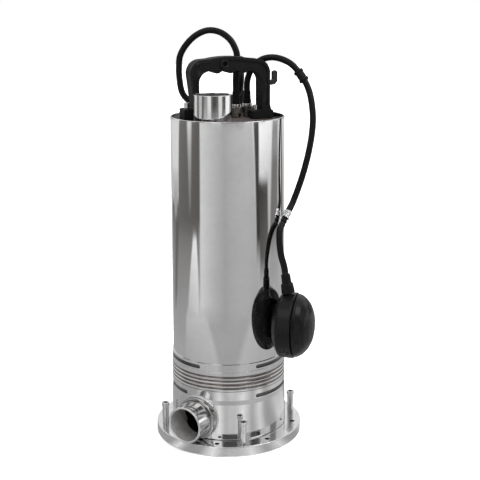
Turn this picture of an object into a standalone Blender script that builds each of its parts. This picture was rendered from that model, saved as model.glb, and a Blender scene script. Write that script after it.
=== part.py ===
"""Submersible sump pump: stainless body, side inlet, top outlet, float switch and mains lead.

All sizes are in millimetres, turned into metres when a mesh is made. The origin is the centre of
the base flange's underside, +Z runs up the shaft and -Y faces the front.
"""
import bpy
import bmesh
from math import atan2, cos, hypot, pi, radians, sin, tan
from mathutils import Matrix, Vector

MM = 0.001                    # metres in a millimetre

# --- Clearances ---------------------------------------------------------------------------------
SEAT = 0.3                    # between pieces that rest on or in each other
RUNNING = 0.6                 # between a turning piece and a fixed one

# --- Base flange --------------------------------------------------------------------------------
FLANGE_RADIUS = 85.4
FLANGE_THICKNESS = 11.3
FLANGE_FLOOR = 6.0            # thickness inside the casing
FLANGE_CHAMFER = 0.8
FLANGE_LEDGE = 3.0            # from the casing's bore in to the flange's sunk floor
BOLT_COUNT = 4
BOLT_AZIMUTH = 13.0           # first bolt, from the front towards +X, in degrees
BOLT_SHANK_RADIUS = 2.9
BOLT_HEAD_RADIUS = 5.0
BOLT_HEAD_HEIGHT = 5.6
BOLT_STAND = 26.0             # head's top above the flange
BOLT_SOCKET_RADIUS = 2.6
BOLT_SOCKET_DEPTH = 2.8
BOLT_SHOULDER_RADIUS = 4.1    # of the plain shank that stands on the flange
PLAIN_HOLE_RADIUS = 2.8
PLAIN_HOLE_COUNT = 8

# --- Casing, ribbed collar, slotted band, jacket ------------------------------------------------
CASING_RADIUS = 67.0
CASING_WALL = 2.2
CASING_TOP = 68.9
CASING_STEP_HEIGHT = CASING_TOP - 11.1          # above it the casing is as wide as the collar
CASING_INNER = CASING_RADIUS - CASING_WALL
BOLT_CIRCLE = (CASING_RADIUS + SEAT + FLANGE_RADIUS) / 2    # midway on the flange's rim
COLLAR_RADIUS = CASING_RADIUS - 0.9
COLLAR_TOP = CASING_TOP + 23.1
GROOVE_COUNT = 4
GROOVE_FIRST = CASING_TOP + 4.8                 # height of the lowest groove
GROOVE_PITCH = 4.6
GROOVE_DEPTH = 1.0
GROOVE_HALF = 1.1
BAND_TOP = COLLAR_TOP + 8.8
SLOT_HEIGHT = 4.3
SLOT_START = 28.5             # degrees from the front
SLOT_SWEEP = 63.0
UPPER_SLOT_BOTTOM = COLLAR_TOP + 2.0
LOWER_SLOT_BOTTOM = CASING_STEP_HEIGHT + 1.5
LOWER_LEFT_SLOT_START = 45.0
LINER_BOTTOM = LOWER_SLOT_BOTTOM - 3.3
LINER_WALL = 1.6
JACKET_RADIUS = CASING_RADIUS - 2.0
JACKET_WALL = 1.5
JACKET_HEIGHT = 274.0
JACKET_TOP = BAND_TOP + JACKET_HEIGHT
JACKET_ROLL = 0.9             # rounding of the rim

# --- Side inlet ---------------------------------------------------------------------------------
INLET_AZIMUTH = -31.5
INLET_HEIGHT = 35.5
INLET_RADIUS = 21.2
INLET_WALL = 2.4
INLET_REACH = CASING_RADIUS + 27.0              # front face, from the shaft's axis
INLET_ROOT = CASING_RADIUS - 14.0               # where the stub starts, before the casing trims it
INLET_COLLAR_RADIUS = 24.2
INLET_COLLAR_REACH = CASING_RADIUS + 5.0

# --- Lid, outlet and handle ---------------------------------------------------------------------
LID_RADIUS = JACKET_RADIUS - JACKET_WALL - SEAT
LID_TOP = JACKET_TOP - 5.8
LID_THICKNESS = 6.0
OUTLET_X = -15.7
OUTLET_Y = -27.0
OUTLET_RADIUS = 21.7
OUTLET_WALL = 2.5
OUTLET_HEIGHT = 32.3          # above the lid
OUTLET_TOP = LID_TOP + OUTLET_HEIGHT
HANDLE_X = -2.0
HANDLE_Y = 16.0
HANDLE_TURN = 18.0            # degrees about +Z
HANDLE_HALF_DEPTH = 11.0
HANDLE_HALF_WIDTH = LID_RADIUS - 16.7
HANDLE_LEG = 10.5
LEG_TAPER = 4.0               # the left leg's outside leans in by this towards its foot
HANDLE_HEIGHT = 71.5          # above the lid
HANDLE_TOP = LID_TOP + HANDLE_HEIGHT
HANDLE_SHOULDER = 16.0        # outer corner radius
HANDLE_CROWN = 3.0
CROWN_HALF = 14.0             # of the nearly level middle of the crown
CROWN_FALL = 0.4              # from the middle to the ends of that stretch
GRIP_THICKNESS = 16.0
HANDLE_WINDOW_TOP = HANDLE_TOP - GRIP_THICKNESS
HANDLE_WINDOW_CORNER = 13.0
HANDLE_EDGE = 2.4
GRIP_PITCH = 16.0
GRIP_DEPTH = 2.9
GRIP_HALF_SPAN = HANDLE_HALF_WIDTH - HANDLE_LEG - HANDLE_WINDOW_CORNER + 1.0
GRIP_POINT_COUNT = 18              # along the scalloped underside
RECESS_RADIUS = 2.8           # of the round mark on the grip's front
RECESS_DEPTH = 4.0
RECESS_X = -1.0
RECESS_DROP = 7.9             # below the handle's top
LEFT_FOOT_END = -HANDLE_HALF_WIDTH - 9.5
LEFT_FOOT_TOP = LID_TOP + 13.5
LEFT_FOOT_STEP = 6.0          # above the foot, where the leg's inside turns in
LEFT_LEG_FLARE = 2.0          # of the leg's inside, under that step
RIGHT_FOOT_END = HANDLE_HALF_WIDTH + 4.5
RIGHT_FOOT_INNER = HANDLE_HALF_WIDTH - 21.0
RIGHT_FOOT_TOP = LID_TOP + 9.0
HOOK_REACH = 9.6
HOOK_TAB = 6.4
HOOK_HEIGHT = 16.5
HOOK_TOP = HANDLE_TOP - 17.0
HOOK_BOTTOM = HOOK_TOP - HOOK_HEIGHT
HOOK_FLOOR = 5.0              # thickness under the hook's groove
HOOK_HALF_DEPTH = 5.0
HANDLE_SCREW_RADIUS = 3.0
RIGHT_SCREW_DEPTH = -4.0      # from the handle's middle plane, towards the front
HANDLE_SCREW_HEIGHT = 6.2

# --- Cable glands -------------------------------------------------------------------------------
POWER_GLAND_REACH = LID_RADIUS - 25.95          # from the shaft's axis
POWER_GLAND_AZIMUTH = 165.07                    # from the front towards +X, in degrees
FLOAT_GLAND_REACH = LID_RADIUS - 10.6
FLOAT_GLAND_AZIMUTH = 154.56
GLAND_RADIUS = 6.9
GLAND_HEIGHT = 9.0
BOOT_HEIGHT = 20.0
BOOT_BASE_RADIUS = 5.2
BOOT_TIP_RADIUS = 4.2

# --- Motor and pump stages ----------------------------------------------------------------------
SHAFT_RADIUS = 7.0
STAGE_COVER_BOTTOM = LOWER_SLOT_BOTTOM + 0.7
SHAFT_BOTTOM = STAGE_COVER_BOTTOM - 2.0
STAGE_COVER_THICKNESS = 6.0
STAGE_COVER_EYE = 17.0
STAGE_RADIUS = 56.0
STAGE_WALL = 1.5
STAGE_COUNT = 3
STAGE_PITCH = 27.5
IMPELLER_RADIUS = 46.0
IMPELLER_THICKNESS = 14.0
DIFFUSER_THICKNESS = 5.5
MOTOR_WALL = 2.2
MOTOR_TOP = LID_TOP - 23.0
ROTOR_RADIUS = 26.0
ROTOR_LENGTH = 100.0
MOTOR_END_WALL = 4.0
STATOR_LENGTH = 110.0
WINDING_HEIGHT = 14.0
BEARING_RADIUS = 17.0
BEARING_HEIGHT = 9.0
BEARING_SEAT_WALL = 4.0
BRACKET_THICKNESS = 14.0
SEAL_HOUSING_HEIGHT = 15.0
SEAL_RADIUS = 13.5
DUCT_X = 20.0
DUCT_Y = 26.0
DUCT_RADIUS = 13.0
DUCT_WALL = 2.0

# --- Cables and the float switch ----------------------------------------------------------------
CABLE_RADIUS = 3.75
POINT_SPACING = 15.0          # along a cable's route
COIL_X = -1.0
COIL_Y = 158.0
COIL_MID_RADIUS = 46.0
COIL_TURNS = 3.5              # in each layer
COIL_LAYER_COUNT = 4
COIL_PITCH = 8.2              # between turns and between layers
COIL_REST = 1.8               # the lowest turn's underside, over the tie's strap
LOOP_POINT_COUNT = 24
TIE_WALL = 1.2
TIE_HALF_WIDTH = 4.5
PLUG_RADIUS = 16.5
PLUG_LENGTH = 38.0
PLUG_BOOT_LENGTH = 26.0
PIN_RADIUS = 2.4
PIN_LENGTH = 19.0
PIN_SPACING = 19.0
FLOAT_RADIUS = 37.0
FLOAT_INNER_DEPTH = 23.5      # from the float's middle towards the jacket
FLOAT_OUTER_DEPTH = 23.5
FLOAT_SEAM = 3.4
FLOAT_CENTRE = (74.2, -50.2, 142.8)
FLOAT_AZIMUTH = 60.0
RELIEF_LENGTH = 21.0
RELIEF_BASE_RADIUS = 6.3
RELIEF_TIP_RADIUS = 4.6
SLEEVE_SPOT = (84.6, 26.0, 418.2)      # the clip sits on the straight of the lead nearest to this
SLEEVE_CLIP_RADIUS = 5.9
SLEEVE_CLIP_LENGTH = 14.0
BODY_CLIP_RADIUS = 5.3
BODY_CLIP_LENGTH = 11.0
SWING_POINT = (63.3, -30.0, 258.6)     # the float cable's pivot, just below the body clip
SWING_HEADING = (-0.41, -0.58, -0.70)  # of the cable at the pivot
BEAD_RADIUS = 3.75

# --- Facets round a turned piece ----------------------------------------------------------------
ROUND_COUNT = 44              # large turned pieces
MIDDLE_COUNT = 26             # stubs and float
INNER_COUNT = 20              # motor and stage pieces
SMALL_COUNT = 12              # screws and glands

COLLECTION_NAME = "submersible_pump"
CUTTERS_NAME = "cutters"


# ================================================================================================
# Scene and materials
# ================================================================================================

def clear_scene():
    for item in list(bpy.data.objects):
        bpy.data.objects.remove(item, do_unlink=True)


def new_collection(name):
    collection = bpy.data.collections.new(name)
    bpy.context.scene.collection.children.link(collection)
    return collection


clear_scene()
PARTS = new_collection(COLLECTION_NAME)
CUTTERS = new_collection(CUTTERS_NAME)

FINISHES = {
    "polished_steel": ((0.78, 0.78, 0.79), 0.10, 1.0),
    "satin_steel": ((0.66, 0.66, 0.67), 0.30, 1.0),
    "cast_steel": ((0.42, 0.43, 0.45), 0.45, 1.0),
    "lamination": ((0.20, 0.20, 0.22), 0.55, 0.8),
    "copper": ((0.72, 0.36, 0.18), 0.40, 1.0),
    "brass": ((0.70, 0.55, 0.25), 0.35, 1.0),
    "ceramic": ((0.80, 0.78, 0.72), 0.40, 0.0),
    "black_plastic": ((0.015, 0.015, 0.016), 0.42, 0.0),
    "black_rubber": ((0.02, 0.02, 0.02), 0.55, 0.0),
    "noryl": ((0.07, 0.07, 0.075), 0.50, 0.0),
    "clear_plastic": ((0.75, 0.75, 0.73), 0.30, 0.0),
}


def finish(name):
    material = bpy.data.materials.get(name)
    if material is None:
        colour, roughness, metallic = FINISHES[name]
        material = bpy.data.materials.new(name)
        material.use_nodes = True
        shader = material.node_tree.nodes["Principled BSDF"]
        shader.inputs["Base Color"].default_value = (*colour, 1.0)
        shader.inputs["Roughness"].default_value = roughness
        shader.inputs["Metallic"].default_value = metallic
    return material


def place(name, mesh, finish_name, matrix=None):
    """Link a mesh as a piece of the pump."""
    piece = bpy.data.objects.new(name, mesh)
    PARTS.objects.link(piece)
    mesh.materials.clear()
    mesh.materials.append(finish(finish_name))
    if matrix is not None:
        piece.matrix_world = matrix
    return piece


def as_cutter(piece):
    for collection in list(piece.users_collection):
        collection.objects.unlink(piece)
    CUTTERS.objects.link(piece)
    piece.display_type = "WIRE"
    piece.hide_render = True
    return piece


# ================================================================================================
# Shapes
# ================================================================================================

def at(x, y, z):
    return Matrix.Translation((x * MM, y * MM, z * MM))


def along(start, heading):
    """A matrix that puts local +Z along heading at start."""
    turn = Vector(heading).to_track_quat("Z", "Y").to_matrix().to_4x4()
    return at(*start) @ turn


def around(azimuth):
    """The unit direction that lies azimuth degrees from the front, -Y, towards +X."""
    return Vector((sin(radians(azimuth)), -cos(radians(azimuth)), 0.0))


def turned(name, profile, steps, finish_name, matrix=None, ring=False):
    """Turn (radius, height) points about Z. They run down the outside, top to bottom, and a
    ring's go on up its bore."""
    mesh = bpy.data.meshes.new(name)
    points = [(r * MM, 0.0, z * MM) for r, z in profile]
    edges = [(i, i + 1) for i in range(len(points) - 1)]
    if ring:
        edges.append((len(points) - 1, 0))
    mesh.from_pydata(points, edges, [])
    piece = place(name, mesh, finish_name, matrix)
    screw = piece.modifiers.new("turn", "SCREW")
    screw.axis = "Z"
    screw.angle = 2 * pi
    screw.steps = steps
    screw.render_steps = steps
    screw.use_merge_vertices = True
    screw.merge_threshold = 0.00001
    screw.use_smooth_shade = True
    return piece


def ring(name, outer, inner, bottom, top, steps, finish_name, matrix=None):
    profile = [(outer, top), (outer, bottom), (inner, bottom), (inner, top)]
    return turned(name, profile, steps, finish_name, matrix, ring=True)


def rod(name, radius, bottom, top, steps, finish_name, matrix=None):
    profile = [(0.0, top), (radius, top), (radius, bottom), (0.0, bottom)]
    return turned(name, profile, steps, finish_name, matrix)


def fixed_mesh(piece):
    """Swap a piece's modifiers or curve for the mesh that they give."""
    evaluated = piece.evaluated_get(bpy.context.evaluated_depsgraph_get())
    mesh = bpy.data.meshes.new_from_object(evaluated)
    tidy = bmesh.new()
    tidy.from_mesh(mesh)
    bmesh.ops.remove_doubles(tidy, verts=tidy.verts, dist=0.000005)
    bmesh.ops.recalc_face_normals(tidy, faces=tidy.faces)
    tidy.to_mesh(mesh)
    tidy.free()
    name, matrix = piece.name, piece.matrix_world.copy()
    materials = list(piece.data.materials)
    collection = piece.users_collection[0]
    bpy.data.objects.remove(piece, do_unlink=True)
    solid = bpy.data.objects.new(name, mesh)
    mesh.materials.clear()
    for material in materials:
        mesh.materials.append(material)
    collection.objects.link(solid)
    solid.matrix_world = matrix
    return solid


def flat_outline(name, outlines, half_depth, finish_name, matrix=None):
    """Extrude closed outlines of (x, y) points both ways along Z."""
    curve = bpy.data.curves.new(name, "CURVE")
    curve.dimensions = "2D"
    curve.fill_mode = "BOTH"
    curve.extrude = half_depth * MM
    for outline in outlines:
        spline = curve.splines.new("POLY")
        spline.points.add(len(outline) - 1)
        for point, (x, y) in zip(spline.points, outline):
            point.co = (x * MM, y * MM, 0.0, 1.0)
        spline.use_cyclic_u = True
    piece = place(name, curve, finish_name, matrix)
    bpy.context.view_layer.update()
    return fixed_mesh(piece)


def tube(name, route, finish_name, resolution=2):
    """A round cable along points, with closed ends."""
    curve = bpy.data.curves.new(name, "CURVE")
    curve.dimensions = "3D"
    curve.bevel_depth = CABLE_RADIUS * MM
    curve.bevel_resolution = resolution
    curve.use_fill_caps = True
    spline = curve.splines.new("POLY")
    spline.points.add(len(route) - 1)
    for point, where in zip(spline.points, route):
        point.co = (where[0] * MM, where[1] * MM, where[2] * MM, 1.0)
    return place(name, curve, finish_name)


def cut(piece, cutters):
    for cutter in cutters:
        boolean = piece.modifiers.new("cut", "BOOLEAN")
        boolean.operation = "DIFFERENCE"
        boolean.solver = "EXACT"
        boolean.object = as_cutter(cutter)
    return piece


def soften(piece, width, segments=2):
    bevel = piece.modifiers.new("edges", "BEVEL")
    bevel.width = width * MM
    bevel.segments = segments
    bevel.limit_method = "ANGLE"
    bevel.angle_limit = radians(50)
    bevel.harden_normals = False
    return piece


def arc(centre, radius, first, last, count):
    """Points on an arc, with angles in degrees from +X."""
    steps = [radians(first + (last - first) * i / (count - 1)) for i in range(count)]
    return [(centre[0] + radius * cos(a), centre[1] + radius * sin(a)) for a in steps]


def sector_cutter(name, inner, outer, bottom, height, first, sweep):
    """A curved bar that cuts a slot through a round wall, from azimuth first onwards."""
    pieces = max(4, round(sweep / 6))
    outside = arc((0, 0), outer, first - 90, first - 90 + sweep, pieces)
    inside = arc((0, 0), inner, first - 90 + sweep, first - 90, pieces)
    return flat_outline(name, [outside + inside], height / 2, "satin_steel", at(0, 0, bottom + height / 2))


# ================================================================================================
# Cable routes
# ================================================================================================

def smooth_route(points, spacing):
    """Points at even steps along a smooth curve through the given ones."""
    own = [Vector(p) for p in points]
    own = [own[0] * 2 - own[1]] + own + [own[-1] * 2 - own[-2]]
    fine = []
    for before, start, end, after in zip(own, own[1:], own[2:], own[3:]):
        knots = [0.0]
        for a, b in ((before, start), (start, end), (end, after)):
            knots.append(knots[-1] + (b - a).length ** 0.5)
        leave = ((start - before) / (knots[1] - knots[0]) - (end - before) / (knots[2] - knots[0])
                 + (end - start) / (knots[2] - knots[1])) * (knots[2] - knots[1])
        arrive = ((end - start) / (knots[2] - knots[1]) - (after - start) / (knots[3] - knots[1])
                  + (after - end) / (knots[3] - knots[2])) * (knots[2] - knots[1])
        for i in range(24):
            t = i / 24
            fine.append((2 * t**3 - 3 * t**2 + 1) * start + (t**3 - 2 * t**2 + t) * leave
                        + (-2 * t**3 + 3 * t**2) * end + (t**3 - t**2) * arrive)
    fine.append(own[-2])
    reach = [0.0]
    for a, b in zip(fine, fine[1:]):
        reach.append(reach[-1] + (b - a).length)
    count = max(2, round(reach[-1] / spacing))
    even, index = [], 0
    for i in range(count + 1):
        target = reach[-1] * i / count
        while index < len(fine) - 2 and reach[index + 1] < target:
            index += 1
        share = (target - reach[index]) / (reach[index + 1] - reach[index])
        even.append(fine[index].lerp(fine[index + 1], min(max(share, 0.0), 1.0)))
    return even


def route_length(points):
    return sum((b - a).length for a, b in zip(points, points[1:]))


def coil_route():
    """Turns that spiral in and out, and climb a layer in the half turn where they reverse."""
    start_radius = COIL_MID_RADIUS + COIL_TURNS * COIL_PITCH / 2
    total = COIL_TURNS * COIL_LAYER_COUNT
    points = []
    for i in range(round(total * LOOP_POINT_COUNT) + 1):
        turn = i / LOOP_POINT_COUNT
        layer = min(int(turn / COIL_TURNS), COIL_LAYER_COUNT - 1)
        within = turn - layer * COIL_TURNS
        inward = within if layer % 2 == 0 else COIL_TURNS - within
        radius = start_radius - inward * COIL_PITCH
        climb = 0.0
        for step in range(1, COIL_LAYER_COUNT):
            past = (turn - step * COIL_TURNS) / 0.5 + 0.5
            past = min(max(past, 0.0), 1.0)
            climb += past * past * (3 - 2 * past)
        angle = -pi / 2 + 2 * pi * turn
        height = COIL_REST + CABLE_RADIUS + climb * COIL_PITCH
        points.append(Vector((COIL_X + radius * cos(angle), COIL_Y + radius * sin(angle), height)))
    straight = Vector((2 * CABLE_RADIUS, 0, 0))
    return [points[0] - straight] + points + [points[-1] + straight]


def least_self_gap(points):
    """The least distance between turns that are not neighbours, less the cable's diameter."""
    least = 1e9
    skip = LOOP_POINT_COUNT // 2
    for i in range(0, len(points)):
        for j in range(i + skip, len(points)):
            least = min(least, (points[i] - points[j]).length)
    return least - 2 * CABLE_RADIUS


COIL = coil_route()
COIL_START_RADIUS = COIL_MID_RADIUS + COIL_TURNS * COIL_PITCH / 2
COIL_INNER_RADIUS = COIL_MID_RADIUS - COIL_TURNS * COIL_PITCH / 2
COIL_TOP = COIL_REST + 2 * CABLE_RADIUS + (COIL_LAYER_COUNT - 1) * COIL_PITCH
BOOT_TIP_HEIGHT = LID_TOP + SEAT + GLAND_HEIGHT + SEAT + BOOT_HEIGHT
CABLE_START = BOOT_TIP_HEIGHT + SEAT

POWER_GLAND = tuple(around(POWER_GLAND_AZIMUTH) * POWER_GLAND_REACH)[:2]
FLOAT_GLAND = tuple(around(FLOAT_GLAND_AZIMUTH) * FLOAT_GLAND_REACH)[:2]

# The power lead rises behind the handle, goes round in a loop and drops behind the pump.
POWER_ROUTE = [
    (*POWER_GLAND, CABLE_START), (9.6, 36.3, 414), (10.4, 37, 428), (10.9, 39, 441),
    (7.5, 41, 451), (2.8, 43, 458.2), (-8.5, 45.5, 466.4), (-22.4, 48, 468.6), (-36.6, 50.5, 463),
    (-48.8, 52.5, 451.4), (-56.0, 54, 438.6), (-57.5, 55, 425), (-57.0, 55.5, 410.8),
    (-53.6, 56.2, 394.5), (-43.5, 57, 383.6), (-28, 57.8, 379.6), (-12, 58.4, 379.6),
    (3.5, 59, 384), (13.4, 60, 397.5), (15.6, 62.5, 411), (15.6, 69.5, 424), (15.6, 80.5, 431.4),
    (15.6, 93, 432.6), (15.5, 105, 428), (15.4, 114.5, 418), (15.3, 119, 404), (15, 120, 385),
    (13, 118.5, 350), (10, 115.5, 300), (6, 112, 250), (0, 108, 190), (-10, 104, 135),
    (-23, 100.5, 90), (-38, 98, 55), (-47, 96, 32), (-46, 94.5, 16), (-36, 94.6, 7.6),
    (-27, 96.4, 5.6), (COIL[0].x - SEAT - 9, COIL[0].y, COIL[0].z),
    (COIL[0].x - SEAT, COIL[0].y, COIL[0].z),
]
PLUG_HEIGHT = COIL_TOP + SEAT + PLUG_RADIUS
PLUG_ENTRY = (39.0, 148.0, PLUG_HEIGHT)
PLUG_HEADING = (-0.32, 0.947, 0.0)
PLUG_ROUTE = [
    (COIL[-1].x + SEAT, COIL[-1].y, COIL[-1].z), (COIL[-1].x + 9, COIL[-1].y, COIL[-1].z + 0.4),
    (27, 101.5, 36.5), (37.5, 109, 43.5), (43.5, 120.5, 48.8),
    tuple(Vector(PLUG_ENTRY) - Vector(PLUG_HEADING) * 11),
    tuple(Vector(PLUG_ENTRY) - Vector(PLUG_HEADING) * SEAT),
]
# The float's lead rises behind the handle's shoulder and falls beside the jacket to its clip.
SWING_UP = -Vector(SWING_HEADING).normalized()
CLIP_END = Vector(SWING_POINT) + SWING_UP * (BEAD_RADIUS + SEAT)
CLIP_START = CLIP_END + SWING_UP * BODY_CLIP_LENGTH
FLOAT_UPPER_ROUTE = [
    (*FLOAT_GLAND, CABLE_START), (*FLOAT_GLAND, CABLE_START + 8), (24.4, 47.2, 416), (30.4, 45.6, 427),
    (40.4, 42.3, 435.4),
    (54.9, 38, 437.6), (71.7, 32, 431.6), (84.6, 26, 418.2), (93.4, 20, 401.4), (97.3, 12, 379.4),
    (97.4, 7, 362.6), (93.5, -0.5, 337.3), (85.2, -8, 306.4),
    tuple(CLIP_START + SWING_UP * 12), tuple(CLIP_START), tuple(CLIP_END),
]
RELIEF_BASE = Vector((67.9, -50.6, 181.4))
RELIEF_TIP = Vector((64.6, -50.2, 202.2))
RELIEF_UP = (RELIEF_TIP - RELIEF_BASE).normalized()
FLOAT_LOWER_ROUTE = [
    tuple(Vector(SWING_POINT) - SWING_UP * (BEAD_RADIUS + SEAT)),
    (58.9, -38.4, 251.5), (58.1, -42.6, 243.5), (58.4, -45.6, 234), (60.0, -48, 222.6),
    tuple(RELIEF_BASE + RELIEF_UP * (RELIEF_LENGTH + SEAT + 8)),
    tuple(RELIEF_BASE + RELIEF_UP * (RELIEF_LENGTH + SEAT)),
]


# ================================================================================================
# Base flange and its bolts
# ================================================================================================

def bolt_places():
    return [around(BOLT_AZIMUTH + 360 / BOLT_COUNT * i) * BOLT_CIRCLE for i in range(BOLT_COUNT)]


def plain_hole_places():
    step = 360 / PLAIN_HOLE_COUNT
    return [around(BOLT_AZIMUTH + step * (i + 0.5)) * BOLT_CIRCLE for i in range(PLAIN_HOLE_COUNT)]


def build_base_flange():
    inside = CASING_INNER - FLANGE_LEDGE
    profile = [
        (0, FLANGE_FLOOR), (inside, FLANGE_FLOOR), (inside, FLANGE_THICKNESS),
        (FLANGE_RADIUS - FLANGE_CHAMFER, FLANGE_THICKNESS),
        (FLANGE_RADIUS, FLANGE_THICKNESS - FLANGE_CHAMFER),
        (FLANGE_RADIUS, FLANGE_CHAMFER), (FLANGE_RADIUS - FLANGE_CHAMFER, 0), (0, 0),
    ]
    flange = turned("base_flange", profile, ROUND_COUNT, "polished_steel")
    cutters = []
    for i, spot in enumerate(bolt_places()):
        hole = rod(f"bolt_hole_{i + 1}", BOLT_SHANK_RADIUS + SEAT, -2, FLANGE_THICKNESS + 2, SMALL_COUNT,
                   "satin_steel", at(spot.x, spot.y, 0))
        cutters.append(hole)
    for i, spot in enumerate(plain_hole_places()):
        hole = rod(f"plain_hole_{i + 1}", PLAIN_HOLE_RADIUS, -2, FLANGE_THICKNESS + 2, 10,
                   "satin_steel", at(spot.x, spot.y, 0))
        cutters.append(hole)
    cut(flange, cutters)


def build_flange_bolts():
    top = FLANGE_THICKNESS + BOLT_STAND
    under_head = top - BOLT_HEAD_HEIGHT
    profile = [
        (0, top - BOLT_SOCKET_DEPTH), (BOLT_SOCKET_RADIUS, top - BOLT_SOCKET_DEPTH),
        (BOLT_SOCKET_RADIUS, top), (BOLT_HEAD_RADIUS - 0.5, top), (BOLT_HEAD_RADIUS, top - 0.5),
        (BOLT_HEAD_RADIUS, under_head), (BOLT_SHOULDER_RADIUS, under_head),
        (BOLT_SHOULDER_RADIUS, FLANGE_THICKNESS + SEAT), (BOLT_SHANK_RADIUS, FLANGE_THICKNESS + SEAT),
        (BOLT_SHANK_RADIUS, 1.0), (0, 1.0),
    ]
    for i, spot in enumerate(bolt_places()):
        turned(f"flange_bolt_{i + 1}", profile, SMALL_COUNT, "satin_steel", at(spot.x, spot.y, 0))


# ================================================================================================
# Casing, collar, band and jacket
# ================================================================================================

def inlet_direction():
    return around(INLET_AZIMUTH)


def inlet_matrix():
    return along((0, 0, INLET_HEIGHT), inlet_direction())


def build_suction_casing():
    inner = CASING_INNER
    bottom = FLANGE_THICKNESS + SEAT
    profile = [
        (COLLAR_RADIUS, CASING_TOP), (COLLAR_RADIUS, CASING_STEP_HEIGHT),
        (CASING_RADIUS, CASING_STEP_HEIGHT - 0.8), (CASING_RADIUS, bottom + 0.8),
        (CASING_RADIUS - 0.8, bottom), (inner, bottom), (inner, CASING_TOP),
    ]
    casing = turned("suction_casing", profile, ROUND_COUNT, "polished_steel", ring=True)
    bore = rod("casing_bore", INLET_RADIUS - INLET_WALL, inner - 8, CASING_RADIUS + 8, MIDDLE_COUNT,
               "satin_steel", inlet_matrix())
    inside, outside = inner - 2, CASING_RADIUS + 2
    slots = [
        sector_cutter("lower_slot_right", inside, outside, LOWER_SLOT_BOTTOM, SLOT_HEIGHT,
                      SLOT_START, SLOT_SWEEP),
        sector_cutter("lower_slot_left", inside, outside, LOWER_SLOT_BOTTOM, SLOT_HEIGHT,
                      -SLOT_START - SLOT_SWEEP, SLOT_SWEEP - LOWER_LEFT_SLOT_START + SLOT_START),
        sector_cutter("lower_slot_back", inside, outside, LOWER_SLOT_BOTTOM, SLOT_HEIGHT,
                      180 - SLOT_SWEEP / 2, SLOT_SWEEP),
    ]
    cut(casing, [bore] + slots)


def build_inlet():
    seat = CASING_RADIUS + SEAT
    bore = INLET_RADIUS - INLET_WALL
    chamfer = 0.7
    profile = [
        (bore + chamfer, INLET_REACH), (INLET_RADIUS - chamfer, INLET_REACH),
        (INLET_RADIUS, INLET_REACH - chamfer), (INLET_RADIUS, INLET_ROOT),
        (bore, INLET_ROOT), (bore, INLET_REACH - chamfer),
    ]
    stub = turned("inlet_stub", profile, MIDDLE_COUNT, "polished_steel", inlet_matrix(), ring=True)
    wall = rod("inlet_wall_cutter", seat, 0, INLET_HEIGHT * 2 + 20, ROUND_COUNT, "satin_steel",
               at(0, 0, -5))
    cut(stub, [wall])
    inner = INLET_RADIUS + SEAT
    collar_profile = [
        (inner, INLET_COLLAR_REACH), (INLET_COLLAR_RADIUS - 0.8, INLET_COLLAR_REACH),
        (INLET_COLLAR_RADIUS, INLET_COLLAR_REACH - 0.8), (INLET_COLLAR_RADIUS, INLET_ROOT),
        (inner, INLET_ROOT),
    ]
    collar = turned("inlet_collar", collar_profile, MIDDLE_COUNT, "polished_steel", inlet_matrix(),
                    ring=True)
    collar_wall = rod("collar_wall_cutter", seat, 0, INLET_HEIGHT * 2 + 20, ROUND_COUNT, "satin_steel",
                      at(0, 0, -5))
    floor = rod("collar_floor_cutter", FLANGE_RADIUS + 5, 0, FLANGE_THICKNESS + SEAT, ROUND_COUNT,
                "satin_steel")
    cut(collar, [collar_wall, floor])


def build_ribbed_collar():
    bottom = CASING_TOP + SEAT
    outside = [(COLLAR_RADIUS, COLLAR_TOP)]
    for i in reversed(range(GROOVE_COUNT)):
        height = GROOVE_FIRST + GROOVE_PITCH * i
        outside += [
            (COLLAR_RADIUS, height + GROOVE_HALF), (COLLAR_RADIUS - GROOVE_DEPTH, height),
            (COLLAR_RADIUS, height - GROOVE_HALF),
        ]
    inner = CASING_INNER
    outside += [(COLLAR_RADIUS, bottom), (inner, bottom), (inner, COLLAR_TOP)]
    turned("ribbed_collar", outside, ROUND_COUNT, "polished_steel", ring=True)


def build_slotted_band():
    inner = CASING_INNER
    band = ring("slotted_band", COLLAR_RADIUS, inner, COLLAR_TOP + SEAT, BAND_TOP, ROUND_COUNT,
                "polished_steel")
    starts = [SLOT_START, 180 - SLOT_SWEEP / 2, -SLOT_START - SLOT_SWEEP]
    cut(band, [
        sector_cutter(f"upper_slot_{i + 1}", inner - 2, COLLAR_RADIUS + 2, UPPER_SLOT_BOTTOM,
                      SLOT_HEIGHT, start, SLOT_SWEEP)
        for i, start in enumerate(starts)
    ])


def build_slot_liner():
    outer = CASING_INNER - SEAT
    ring("slot_liner", outer, outer - LINER_WALL, LINER_BOTTOM, BAND_TOP - SEAT, ROUND_COUNT, "cast_steel")


def build_outer_jacket():
    inner = JACKET_RADIUS - JACKET_WALL
    roll = JACKET_ROLL
    profile = [
        (inner, JACKET_TOP - roll * 0.6), (inner + roll * 0.5, JACKET_TOP),
        (JACKET_RADIUS - roll * 0.6, JACKET_TOP), (JACKET_RADIUS, JACKET_TOP - roll),
        (JACKET_RADIUS, BAND_TOP + SEAT), (inner, BAND_TOP + SEAT),
    ]
    turned("outer_jacket", profile, ROUND_COUNT, "polished_steel", ring=True)


# ================================================================================================
# Lid, outlet, glands and handle
# ================================================================================================

def build_lid():
    bottom = LID_TOP - LID_THICKNESS
    lid = rod("top_lid", LID_RADIUS, bottom, LID_TOP, ROUND_COUNT, "noryl")
    bore = rod("lid_bore", OUTLET_RADIUS - OUTLET_WALL, bottom - 3, LID_TOP + 3, MIDDLE_COUNT,
               "satin_steel", at(OUTLET_X, OUTLET_Y, 0))
    cut(lid, [bore])


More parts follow.
